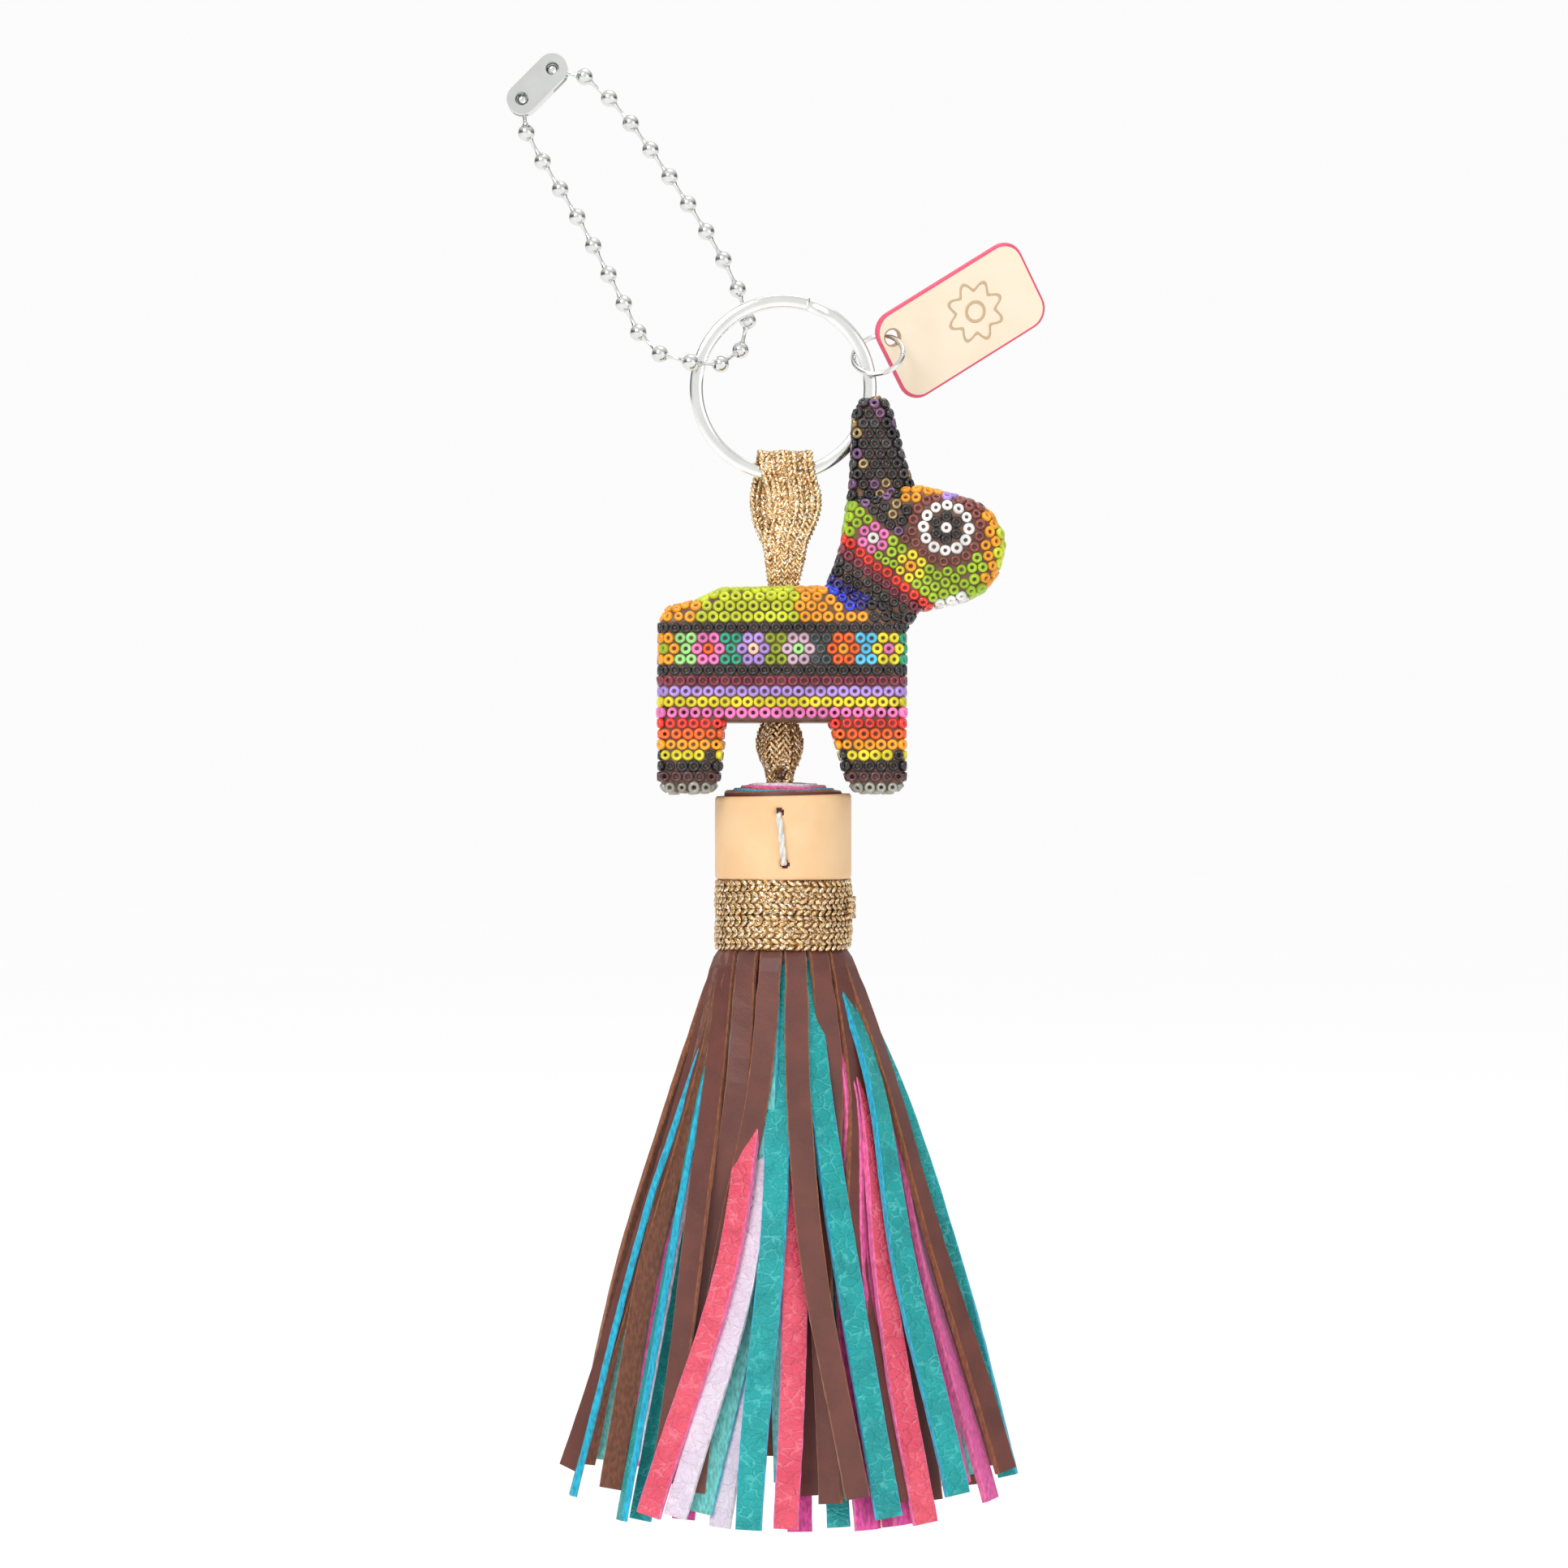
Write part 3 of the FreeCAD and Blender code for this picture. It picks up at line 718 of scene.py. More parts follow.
@dataclass
class Tag:
    """The small leather tag with its painted edge."""

    ring: JumpRing
    long: float = 30.4
    wide: float = 16.4
    thick: float = 1.2
    corner: float = 3.6
    hole: float = 1.35
    hole_end: float = 2.6
    hole_side: float = 4.2
    turn: float = 30.4
    tilt: float = 25.0
    tip_axis: float = 62.0
    on_ring: float = 42.0

    def outline(self, inset: float) -> Array:
        """The rounded oblong in its own plane, the hole at its origin."""
        x0, x1 = -self.hole_end + inset, self.long - self.hole_end - inset
        z1, z0 = self.hole_side - inset, self.hole_side - self.wide + inset
        r = self.corner - inset * 0.5
        points = []
        corners = ((x1 - r, z1 - r, 0), (x0 + r, z1 - r, 90), (x0 + r, z0 + r, 180), (x1 - r, z0 + r, 270))
        for cx, cz, start in corners:
            for a in np.radians(np.linspace(start, start + 90, 9)):
                points.append((cx + r * math.cos(a), cz + r * math.sin(a)))
        return np.array(points)

    def place(self, flat: Array) -> Array:
        """Turns and tips points of the tag's plane to where it hangs."""
        a = -math.radians(self.turn)
        c, s = math.cos(a), math.sin(a)
        turned = flat @ np.array([[c, 0, s], [0, 1, 0], [-s, 0, c]]).T
        tip, lean = math.radians(self.tip_axis), math.radians(self.tilt)
        k = np.array([math.cos(tip), 0, math.sin(tip)])
        along = turned @ k
        leaned = turned * math.cos(lean) + np.cross(k, turned) * math.sin(lean)
        leaned = leaned + np.outer(along, k) * (1 - math.cos(lean))
        return leaned + self.ring.point(self.on_ring)

    def build(self) -> None:
        """Builds the plate from its two faces, its rounded edge and the hole's wall."""
        cloth = Cloth()
        ring = np.linspace(0, 2 * np.pi, 28, endpoint=False)
        hole = np.stack([np.cos(ring), np.sin(ring)], 1)
        t = self.thick / 2
        levels = [(-t, 0.5), (-t * 0.72, 0.12), (-t * 0.3, 0.0), (t * 0.3, 0.0), (t * 0.72, 0.12), (t, 0.5)]
        rims = [self.outline(inset) for _, inset in levels]
        layers = [np.insert(rim, 1, y, axis=1) for rim, (y, _) in zip(rims, levels)]
        n = len(rims[0])
        for lower in range(len(layers) - 1):
            pair = np.vstack([layers[lower], layers[lower + 1]])
            cloth.add(self.place(pair), [(i, (i + 1) % n, n + (i + 1) % n, n + i) for i in range(n)], 1)
        wall = []
        for y, grow in ((-t, 0.28), (-t * 0.75, 0.0), (t * 0.75, 0.0), (t, 0.28)):
            wall.append(np.insert(hole * (self.hole + grow), 1, y, axis=1))
        m = len(hole)
        for lower in range(3):
            pair = np.vstack([wall[lower], wall[lower + 1]])
            cloth.add(self.place(pair), [(n_, m + n_, m + (n_ + 1) % m, (n_ + 1) % m) for n_ in range(m)], 2)
        for layer, edge, flip in ((layers[0], wall[0], False), (layers[-1], wall[-1], True)):
            loops = [[Vector((p[0], p[2], 0)) for p in layer], [Vector((p[0], p[2], 0)) for p in edge[::-1]]]
            triangles = tessellate_polygon(loops)
            points = np.vstack([layer, edge[::-1]])
            cloth.add(self.place(points), [tri if flip else tri[::-1] for tri in triangles], 0)
        materials = [
            Stamped("tag_face", (0.93, 0.80, 0.62), (0.88, 0.74, 0.55), (15.5, -3.9), 5.6).make(),
            EdgePaint("tag_edge_paint", (0.88, 0.11, 0.20)).make(),
            Tanned("tag_raw_wall", (0.55, 0.36, 0.20), (0.35, 0.20, 0.10)).make(),
        ]
        piece = cloth.build("tag_plate", materials, smooth=False)
        self.map_face(piece)
        settle(piece, "name_tag", Part.TAG, "leather_tag")

    def map_face(self, piece: bpy.types.Object) -> None:
        """Gives the tag a UV map of its own plane, in metres from the hole."""
        hung = self.ring.point(self.on_ring)
        x_axis, z_axis = self.place(np.array([[1.0, 0, 0], [0, 0, 1.0]])) - hung
        layer = piece.data.uv_layers.new(name="face")
        start = hung[0] * MM
        for loop in piece.data.loops:
            offset = np.array(piece.data.vertices[loop.vertex_index].co) - start
            layer.data[loop.index].uv = (float(offset @ x_axis), float(offset @ z_axis))


@dataclass
class BallChain:
    """Hollow balls on short wires, threaded through the split ring, and their connector."""

    ball: float = 1.45
    wire: float = 0.34
    count: int = 24
    runner: tuple[int, int] = (10, 12)
    route: tuple[tuple[float, float, float], ...] = (
        (-39.5, 0.0, 54.5), (-34.1, 0.0, 53.4), (-25.9, 0.2, 45.1), (-12.7, 1.4, 26.2), (-7.3, 2.7, 16.0),
        (-6.1, 2.7, 10.6), (-7.9, 1.0, 5.8), (-11.5, -2.5, 3.7), (-16.1, -3.9, 4.1), (-21.3, -2.6, 5.7),
        (-24.4, -1.3, 8.8), (-26.8, -0.7, 13.4), (-34.9, 0.0, 28.6), (-43.9, 0.0, 43.5), (-44.7, 0.0, 49.3),
    )

    def ball_shape(self) -> Shape:
        """A hollow ball with a lipped hole at each pole."""
        arc = [(self.ball * math.sin(a), self.ball * math.cos(a)) for a in np.radians(np.linspace(20, 160, 15))]
        lip = [(0.42, -1.12), (0.42, 1.12)]
        return lathe(arc + lip, 24)

    def link_shape(self) -> Shape:
        """A link one long and one wide, flared where it enters the balls."""
        profile = [
            (0.0, 0.0), (1.5, 0.02), (1.5, 0.16), (1.0, 0.24), (0.92, 0.5),
            (1.0, 0.76), (1.5, 0.84), (1.5, 0.98), (0.0, 1.0),
        ]
        return lathe(profile, 14, closed=False)

    def build(self) -> None:
        """Strings the chain, one piece for each body and kind."""
        points = spline(self.route, self.count)
        way = tangents(points)
        plate = Plate("chain_plate", (0.80, 0.81, 0.79), 0.13).make()
        first, last = self.runner
        groups = {
            "right": (range(0, first), range(0, first), "chain_strands"),
            "left": (range(last + 1, self.count), range(last, self.count - 1), "chain_strands"),
            "runner": (range(first, last + 1), range(first, last), "chain_runner"),
        }
        for name, (balls, links, body) in groups.items():
            cloth = Cloth()
            at = np.array(list(balls))
            sideways = np.cross(way[at], [0.3, 1.0, 0.1])
            stamp(cloth, self.ball_shape(), points[at], sideways, way[at], np.ones((len(at), 3)))
            settle(cloth.build("chain_ball_" + name, [plate]), body, Part.CHAIN, "chain_balls_" + name)
            cloth = Cloth()
            at = np.array(list(links))
            run = points[at + 1] - points[at]
            length = np.linalg.norm(run, axis=1) - 2 * self.ball * 0.62
            start = points[at] + unit(run) * self.ball * 0.62
            sizes = np.stack([np.full(len(at), self.wire), np.full(len(at), self.wire), length], 1)
            stamp(cloth, self.link_shape(), start, np.cross(run, [0.3, 1.0, 0.1]), run, sizes)
            settle(cloth.build("chain_link_" + name, [plate]), body, Part.CHAIN, "chain_links_" + name)
        self.connector(plate)

    def connector(self, plate: bpy.types.Material) -> None:
        """Gives the folded sheet connector its plating."""
        for material_slot in bpy.data.objects["chain_connector"].material_slots:
            material_slot.material = plate


# ---------------------------------------------------------------- the beaded donkey


def inset_outline(points: Sequence[tuple[float, float]], distance: float) -> Array:
    """Moves every side of a closed outline inwards by one distance."""
    p = np.asarray(points, float)
    before, after = np.roll(p, 1, 0), np.roll(p, -1, 0)
    area = np.sum(p[:, 0] * after[:, 1] - after[:, 0] * p[:, 1])
    side = 1.0 if area > 0 else -1.0
    a, b = unit(p - before), unit(after - p)
    n1 = np.stack([-a[:, 1], a[:, 0]], 1) * side
    n2 = np.stack([-b[:, 1], b[:, 0]], 1) * side
    return p + (n1 + n2) * distance / (1 + np.sum(n1 * n2, 1, keepdims=True))


@dataclass
class Slab:
    """An outline in XZ given thickness in Y, all its edges rounded."""

    outline: Sequence[tuple[float, float]]
    half: float
    rounding: float
    y: float = FIGURE_Y

    def __post_init__(self) -> None:
        """Works out the inner outline that the rounding grows from."""
        self.inner = inset_outline(self.outline, self.rounding)

    def distance(self, p: Array) -> Array:
        """How far outside the slab each point is, less than nothing inside."""
        q = p[:, [0, 2]]
        a = self.inner
        b = np.roll(a, -1, 0)
        edge = b - a
        rel = q[:, None] - a[None]
        along = np.clip(np.sum(rel * edge, 2) / np.sum(edge * edge, 1), 0, 1)
        near = np.min(np.linalg.norm(rel - along[..., None] * edge, axis=2), axis=1)
        up = (a[None, :, 1] > q[:, None, 1]) != (b[None, :, 1] > q[:, None, 1])
        climb = np.where(edge[:, 1] == 0, 1e-9, edge[:, 1])
        cross = a[None, :, 0] + (q[:, None, 1] - a[None, :, 1]) * edge[None, :, 0] / climb
        inside = np.sum(up & (q[:, None, 0] < cross), axis=1) % 2 == 1
        flat = np.where(inside, -near, near)
        deep = np.abs(p[:, 1] - self.y) - (self.half - self.rounding)
        outer = np.hypot(np.maximum(flat, 0), np.maximum(deep, 0))
        return np.minimum(np.maximum(flat, deep), 0) + outer - self.rounding


TORSO = (
    (-21.3, -60.0), (-21.3, -40.6), (-19.9, -37.8), (-15.0, -36.8), (-10.3, -34.6),
    (8.0, -34.4), (17.0, -36.5), (20.9, -41.0), (20.9, -60.0),
)
NECK = (
    (6.6, -35.0), (8.6, -30.8), (9.7, -26.8), (10.8, -19.9), (22.4, -17.4),
    (26.0, -28.0), (23.0, -38.9), (20.9, -42.5), (11.0, -42.5),
)
HEAD = (
    (18.5, -18.4), (22.8, -17.1), (28.0, -18.4), (32.4, -19.8), (35.4, -21.9), (37.4, -25.0),
    (37.8, -28.4), (36.6, -32.4), (34.2, -35.4), (30.8, -37.1), (22.8, -38.9), (17.0, -36.0),
)
EAR = (
    (10.2, -24.0), (11.2, -15.9), (11.6, -5.0), (13.0, -2.5), (17.1, -1.9),
    (18.5, -4.1), (20.6, -11.7), (22.4, -17.4), (24.0, -24.0),
)
FRONT_LEG = (
    (6.6, -54.0), (7.6, -57.4), (10.7, -67.9), (12.6, -69.7), (19.2, -69.7), (20.9, -68.0), (20.9, -54.0),
)
HIND_LEG = (
    (-21.3, -54.0), (-21.3, -68.0), (-19.6, -69.7), (-12.4, -69.7),
    (-10.7, -68.0), (-9.7, -58.1), (-9.0, -54.0),
)


class Hue(Enum):
    """The bead colours, as linear light, with how metallic each is."""

    SILVER = (0.36, 0.36, 0.31, 0.3)
    DARK_BROWN = (0.085, 0.030, 0.034, 0.0)
    BLACK = (0.014, 0.014, 0.017, 0.0)
    YELLOW = (0.80, 0.70, 0.010, 0.0)
    AMBER = (0.95, 0.38, 0.005, 0.0)
    ORANGE = (0.92, 0.13, 0.008, 0.0)
    RED = (0.80, 0.032, 0.016, 0.0)
    PINK = (0.86, 0.19, 0.50, 0.0)
    LILAC = (0.46, 0.29, 0.76, 0.0)
    MAROON = (0.22, 0.020, 0.048, 0.0)
    MASK = (0.23, 0.052, 0.042, 0.0)
    LIME = (0.36, 0.55, 0.010, 0.0)
    LIME_YELLOW = (0.62, 0.70, 0.014, 0.0)
    GREEN = (0.34, 0.76, 0.24, 0.0)
    TEAL = (0.005, 0.33, 0.19, 0.0)
    OLIVE = (0.32, 0.42, 0.006, 0.0)
    SLATE = (0.035, 0.070, 0.080, 0.0)
    SKY = (0.09, 0.56, 0.86, 0.0)
    BLUE = (0.020, 0.045, 0.66, 0.0)
    NAVY = (0.018, 0.016, 0.19, 0.0)
    PEACH = (0.90, 0.60, 0.42, 0.0)
    PALE = (0.60, 0.42, 0.53, 0.0)
    WHITE = (0.88, 0.87, 0.85, 0.0)
    GOLD = (0.38, 0.29, 0.14, 0.8)
    PURPLE = (0.22, 0.11, 0.23, 0.5)
    GUNMETAL = (0.060, 0.060, 0.065, 0.6)


@dataclass
class Donkey:
    """The figure: a waxed core set all over with seed beads."""

    pitch: float = 1.95
    row: float = 1.79
    first_row: float = -55.9
    sunk: float = 0.62
    belly: float = -57.0
    body_half: float = 9.75
    neck_half: float = 6.6
    head_half: float = 7.0
    ear_half: float = 4.0
    leg_half: float = 2.7
    row_room: float = 0.84
    spread: float = 1.93
    lip: float = 3.3
    wax_grid: float = 0.45
    bore: float = 4.4
    eye: tuple[float, float] = (27.5, -24.7)
    tilt: tuple[float, float] = (0.63, 0.777)
    body_count: int = 60
    flowers: tuple[tuple[Hue, Hue], ...] = (
        (Hue.LILAC, Hue.PEACH), (Hue.PALE, Hue.GREEN), (Hue.ORANGE, Hue.AMBER), (Hue.YELLOW, Hue.PINK),
        (Hue.AMBER, Hue.BLUE), (Hue.WHITE, Hue.RED), (Hue.PINK, Hue.YELLOW), (Hue.SKY, Hue.WHITE),
        (Hue.PEACH, Hue.TEAL), (Hue.RED, Hue.LIME_YELLOW), (Hue.LILAC, Hue.AMBER), (Hue.YELLOW, Hue.ORANGE),
        (Hue.PALE, Hue.BLUE), (Hue.AMBER, Hue.LIME), (Hue.PINK, Hue.ORANGE),
    )
    between: tuple[Hue, ...] = (
        Hue.OLIVE, Hue.SLATE, Hue.SKY, Hue.TEAL, Hue.GREEN, Hue.MAROON, Hue.SLATE, Hue.OLIVE,
        Hue.BLUE, Hue.TEAL, Hue.SLATE, Hue.GREEN, Hue.MAROON, Hue.GREEN, Hue.TEAL,
    )

    leg_hues: tuple[Hue, ...] = (
        Hue.RED, Hue.ORANGE, Hue.AMBER, Hue.YELLOW, Hue.BLACK, Hue.DARK_BROWN, Hue.SILVER,
    )

    def __post_init__(self) -> None:
        """Draws the slabs the form is joined from."""
        self.slabs = [
            Slab(TORSO, self.body_half, 3.4), Slab(NECK, self.neck_half, 3.0),
            Slab(HEAD, self.head_half, 3.6), Slab(EAR, self.ear_half, 2.0),
        ]
        leg_y = self.body_half - self.leg_half
        for side in (-1, 1):
            for leg in (FRONT_LEG, HIND_LEG):
                self.slabs.append(Slab(leg, self.leg_half, 1.5, FIGURE_Y + side * leg_y))
        self.fixed = 0
        self.store = np.zeros((8000, 3))
        self.normals: list[Array] = []
        self.hues: list[Hue | None] = []

    @property
    def places(self) -> Array:
        """Where the beads set so far are."""
        return self.store[: len(self.hues)]

    def distance(self, p: Array) -> Array:
        """The distance outside the whole form, its joins a little softened."""
        total = np.maximum(self.slabs[0].distance(p), self.belly - p[:, 2])
        for slab in self.slabs[1:]:
            other = slab.distance(p)
            soft = np.clip(0.5 + 0.5 * (other - total) / 0.8, 0, 1)
            total = other + (total - other) * soft - 0.8 * soft * (1 - soft)
        return total

    def normal(self, p: Array) -> Array:
        """The outward direction at each point."""
        e = 0.05
        steps = np.array([[e, 0, 0], [-e, 0, 0], [0, e, 0], [0, -e, 0], [0, 0, e], [0, 0, -e]])
        d = self.distance((p[:, None] + steps[None]).reshape(-1, 3)).reshape(-1, 6)
        return unit(np.stack([d[:, 0] - d[:, 1], d[:, 2] - d[:, 3], d[:, 4] - d[:, 5]], 1))

    def settle_on(self, p: Array, depth: float, rounds: int = 3) -> Array:
        """Slides points along the outward direction to a given depth."""
        for _ in range(rounds):
            p = p - self.normal(p) * (self.distance(p) + depth)[:, None]
        return p

    def allowed(self, p: Array, n: Array) -> Array:
        """Where beads go: all over but the belly, the bore and the joins."""
        under = (p[:, 2] < self.belly + 1.0) & (n[:, 2] < -0.45) & (p[:, 2] > -60.0)
        bore = (np.hypot(p[:, 0], p[:, 1] - FIGURE_Y) < self.bore) & (p[:, 2] > -45)
        return ~under & ~bore

    def ring_of(self, start: Sequence[float], plane: Array) -> Array:
        """The closed line where a plane through start cuts the form.

        Args:
            start: a point near the line.
            plane: the plane's direction, one long.

        Returns:
            Evenly fine points round the line, its first nearest to start.
        """
        p = np.array([start], float)
        level = float(p[0] @ plane)
        for _ in range(4):
            p = self.pulled(p, plane, level)
        line = [p[0].copy()]
        for step in range(400):
            p = self.pulled(p + unit(np.cross(plane, self.normal(p))) * 1.1, plane, level)
            if step > 6 and np.linalg.norm(p[0] - line[0]) < 0.8:
                break
            line.append(p[0].copy())
        every = np.array(line)
        for _ in range(2):
            every = self.pulled(every, plane, level)
        return every

    def pulled(self, p: Array, plane: Array, level: float) -> Array:
        """Points moved within their plane onto the beads' depth."""
        n = self.normal(p)
        flat = n - plane * (n @ plane)[:, None]
        slope = np.maximum(np.sum(flat * flat, 1), 0.2)
        p = p - flat * ((self.distance(p) + self.sunk) / slope)[:, None]
        return p - plane * (p @ plane - level)[:, None]

    def add_row(
        self,
        start: Sequence[float],
        plane: Array,
        count: int | None,
        shift: float,
        hue: Callable[[int], Hue | None],
        keep: Callable[[Array], Array] = lambda beads: np.ones(len(beads), bool),
    ) -> None:
        """Strings one row of beads round the form.

        Args:
            start: where the row begins.
            plane: the direction square to the row.
            count: how many beads, or None to fit them at the pitch.
            shift: how far along the first bead stands, in beads.
            hue: the colour of bead i.
            keep: says which of the row's beads are wanted.
        """
        line = self.ring_of(start, plane)
        loop = np.vstack([line, line[:1]])
        run = np.concatenate([[0], np.cumsum(np.linalg.norm(np.diff(loop, axis=0), axis=1))])
        number = count or max(3, round(run[-1] / self.pitch))
        at = ((np.arange(number) + shift) / number % 1) * run[-1]
        beads = np.stack([np.interp(at, run, loop[:, k]) for k in range(3)], 1)
        normals = self.normal(beads)
        wanted = keep(beads) & self.allowed(beads, normals)
        for i in np.nonzero(wanted)[0]:
            self.put(beads[i], normals[i], hue(int(i)), self.row_room)

    def put(self, place: Array, normal: Array, hue: Hue | None, room: float) -> None:
        """Sets one bead if no other is nearer than room pitches."""
        away = self.places - place
        if len(away) and np.min(np.einsum("ij,ij->i", away, away)) < (room * self.pitch) ** 2:
            return
        self.store[len(self.hues)] = place
        self.normals.append(normal)
        self.hues.append(hue)

    def body_hue(self, row: int, i: int) -> Hue | None:
        """The colour of bead i in a row of the body, rows counted up from the pink one."""
        plain = {0: Hue.PINK, 1: Hue.YELLOW, 2: Hue.LILAC, 3: Hue.MAROON, 4: Hue.BLACK, 8: Hue.BLACK}
        if row in plain:
            return plain[row]
        if row in (5, 6, 7):
            place = i + 1 if row == 6 else i
            motif, spot = (place // 4) % len(self.flowers), place % 4
            petal, heart = self.flowers[motif]
            if row == 6 and spot == 1:
                return heart
            return petal if spot < (3 if row == 6 else 2) else self.between[motif]
        return None

    def body_rows(self) -> None:
        """The level rows of the body, and those of the four legs."""
        front = FIGURE_Y - self.body_half
        for row in range(0, 11):
            z = self.first_row + self.row * row
            shift = {5: -0.5, 7: -0.5, 6: 0.0}.get(row, 0.5 * (row % 2))
            self.add_row(
                (-5.0, front, z), UP, self.body_count if row < 9 else None, shift,
                lambda i: self.body_hue(row, i), lambda b: (b[:, 0] < 6.0) | (z < -39),
            )
        for step, colour in enumerate(self.leg_hues, 1):
            row, z = -step, self.first_row - self.row * step
            for x in (-16.0, 15.5):
                for side in (-1, 1):
                    self.add_row(
                        (x, FIGURE_Y + side * self.body_half, z), UP, None, 0.5 * (row % 2),
                        lambda i: Hue.BLACK if row == -4 and i % 3 == 2 else colour,
                    )

    def eye_rings(self) -> None:
        """A white bead, six black, twelve white and a brown ring at each eye."""
        x, z = self.eye
        for side in (-1, 1):
            rings = ((0.0, 1, Hue.WHITE), (1.95, 6, Hue.BLACK), (3.85, 12, Hue.WHITE), (5.75, 18, Hue.MASK))
            for radius, count, hue in rings:
                a = np.arange(count) * 2 * np.pi / count + 0.26 * radius
                y = np.full(count, FIGURE_Y + side * 6.4)
                p = np.stack([x + radius * np.cos(a), y, z + radius * np.sin(a)], 1)
                p = self.settle_on(p, self.sunk)
                n = self.normal(p)
                for place, normal in zip(p, n):
                    if abs(normal[1]) > 0.55:
                        self.put(place, normal, hue, 0.88)

    def neck_flowers(self) -> None:
        """Two six-petalled flowers on each side of the neck, square to its rows."""
        for x, z, petal, heart in ((15.2, -26.4, Hue.PINK, Hue.WHITE), (21.5, -31.2, Hue.YELLOW, Hue.AMBER)):
            for side in (-1, 1):
                a = np.radians(np.arange(6) * 60 - 39)
                y = FIGURE_Y + side * self.neck_half
                p = np.stack([x + self.pitch * np.cos(a), 0 * a + y, z + self.pitch * np.sin(a)], 1)
                p = self.settle_on(np.vstack([[[x, y, z]], p]), self.sunk)
                for i, (place, normal) in enumerate(zip(p, self.normal(p))):
                    self.put(place, normal, petal if i else heart, self.row_room)

    def neck_rows(self) -> None:
        """The slanting rows of the neck, from the back up to the brow."""
        plane = unit(np.array([self.tilt[0], 0.0, self.tilt[1]]))
        along = np.array([plane[2], 0.0, -plane[0]])
        hues = [Hue.BLUE, Hue.NAVY, Hue.BLACK, Hue.GUNMETAL, Hue.MAROON, Hue.RED]
        for j in range(10):
            level = -22.3 + 1.66 * j
            start = plane * level + along * (28.5 if j > 5 else 27.0)
            hue = hues[j] if j < len(hues) else None
            self.add_row(
                (start[0], FIGURE_Y - self.neck_half, start[2]), plane, None, 0.5 * (j % 2),
                lambda i: hue,
                lambda b: (b[:, 2] > -40.2) & (b[:, 0] > 5.5),
            )

    def ear_rows(self) -> None:
        """The level rows of the ear tower."""
        for k in range(9):
            z = -17.2 + 1.74 * k
            above = lambda b: b[:, 2] > -18.5
            self.add_row((15.5, FIGURE_Y - self.ear_half, z), UP, None, 0.5 * (k % 2), lambda i: None, above)

    def fill(self) -> None:
        """Grows the bead coat outwards from what is set until the form is covered."""
        for x, z in ((-8.0, -34.6), (15.0, -2.2), (36.8, -28.5), (27.0, -18.0)):
            p = self.settle_on(np.array([[x, FIGURE_Y, z]]), self.sunk)
            self.put(p[0], self.normal(p)[0], None, 0.95)
        self.grow(0.93)
        self.patch(0.72)
        self.patch(0.70)

    def nearest(self, spots: Array) -> Array:
        """How far each spot is from the nearest bead."""
        places = self.places
        best = []
        for part in np.array_split(spots, len(spots) // 3000 + 1):
            squares = (part**2).sum(1)[:, None] + (places**2).sum(1)[None] - 2 * part @ places.T
            best.append(np.sqrt(np.maximum(squares.min(1), 0)))
        return np.concatenate(best)

    def set_free(self, tries: Array, room: float) -> None:
        """Sets beads at those of the tries that lie on the form with room pitches about them."""
        tries = tries[self.nearest(tries) > room * self.pitch * 0.93]
        if not len(tries):
            return
        spots = self.settle_on(tries, self.sunk)
        n = self.normal(spots)
        crowd = self.nearest(spots)
        seated = np.abs(self.distance(spots) + self.sunk) < 0.2
        good = self.allowed(spots, n) & seated & (crowd > room * self.pitch)
        order = np.argsort(crowd[good] if room > 0.9 else -crowd[good])
        for i in np.nonzero(good)[0][order]:
            self.put(spots[i], n[i], None, room)

    def grow(self, room: float) -> None:
        """Adds beads beside every pair that has space, none nearer another than room pitches."""
        checked = 0
        while checked < len(self.hues):
            places, normals = self.places.copy(), np.array(self.normals)
            away = places[None] - places[checked:, None]
            gap = np.linalg.norm(away, axis=2)
            i, j = np.nonzero((gap > 0.1) & (gap < 2.05 * self.pitch))
            middle = (places[checked + i] + places[j]) / 2
            height = np.sqrt(np.maximum(self.pitch**2 - (gap[i, j] / 2) ** 2, 0.16 * self.pitch**2))
            side = unit(np.cross(normals[checked + i] + normals[j], away[i, j])) * height[:, None]
            checked = len(places)
            self.set_free(np.vstack([middle + side, middle - side]), room)

    def patch(self, room: float) -> None:
        """Sets a bead in every bare spot left, then eases the loose beads apart."""
        places, normals = self.places.copy(), np.array(self.normals)
        first = unit(np.cross(normals, [0.3, 0.5, 0.8]))
        second = np.cross(normals, first)
        turns = np.linspace(0, 2 * np.pi, 12, endpoint=False)
        tries = [places + (first * math.cos(a) + second * math.sin(a)) * self.pitch * 0.85 for a in turns]
        self.set_free(np.vstack(tries), room)
        loose = slice(self.fixed, len(self.hues))
        for _ in range(10):
            away = self.places[loose][:, None] - self.places[None]
            gap = np.linalg.norm(away, axis=2)
            crowded = (gap < self.spread) & (gap > 0.01)
            push = np.where(crowded, self.spread - gap, 0) / np.maximum(gap, 0.01)
            moved = self.places[loose] + 0.32 * np.sum(away * push[..., None], axis=1)
            self.store[loose] = self.settle_on(moved, self.sunk, 1)
        self.normals[loose] = list(self.normal(self.places[loose]))

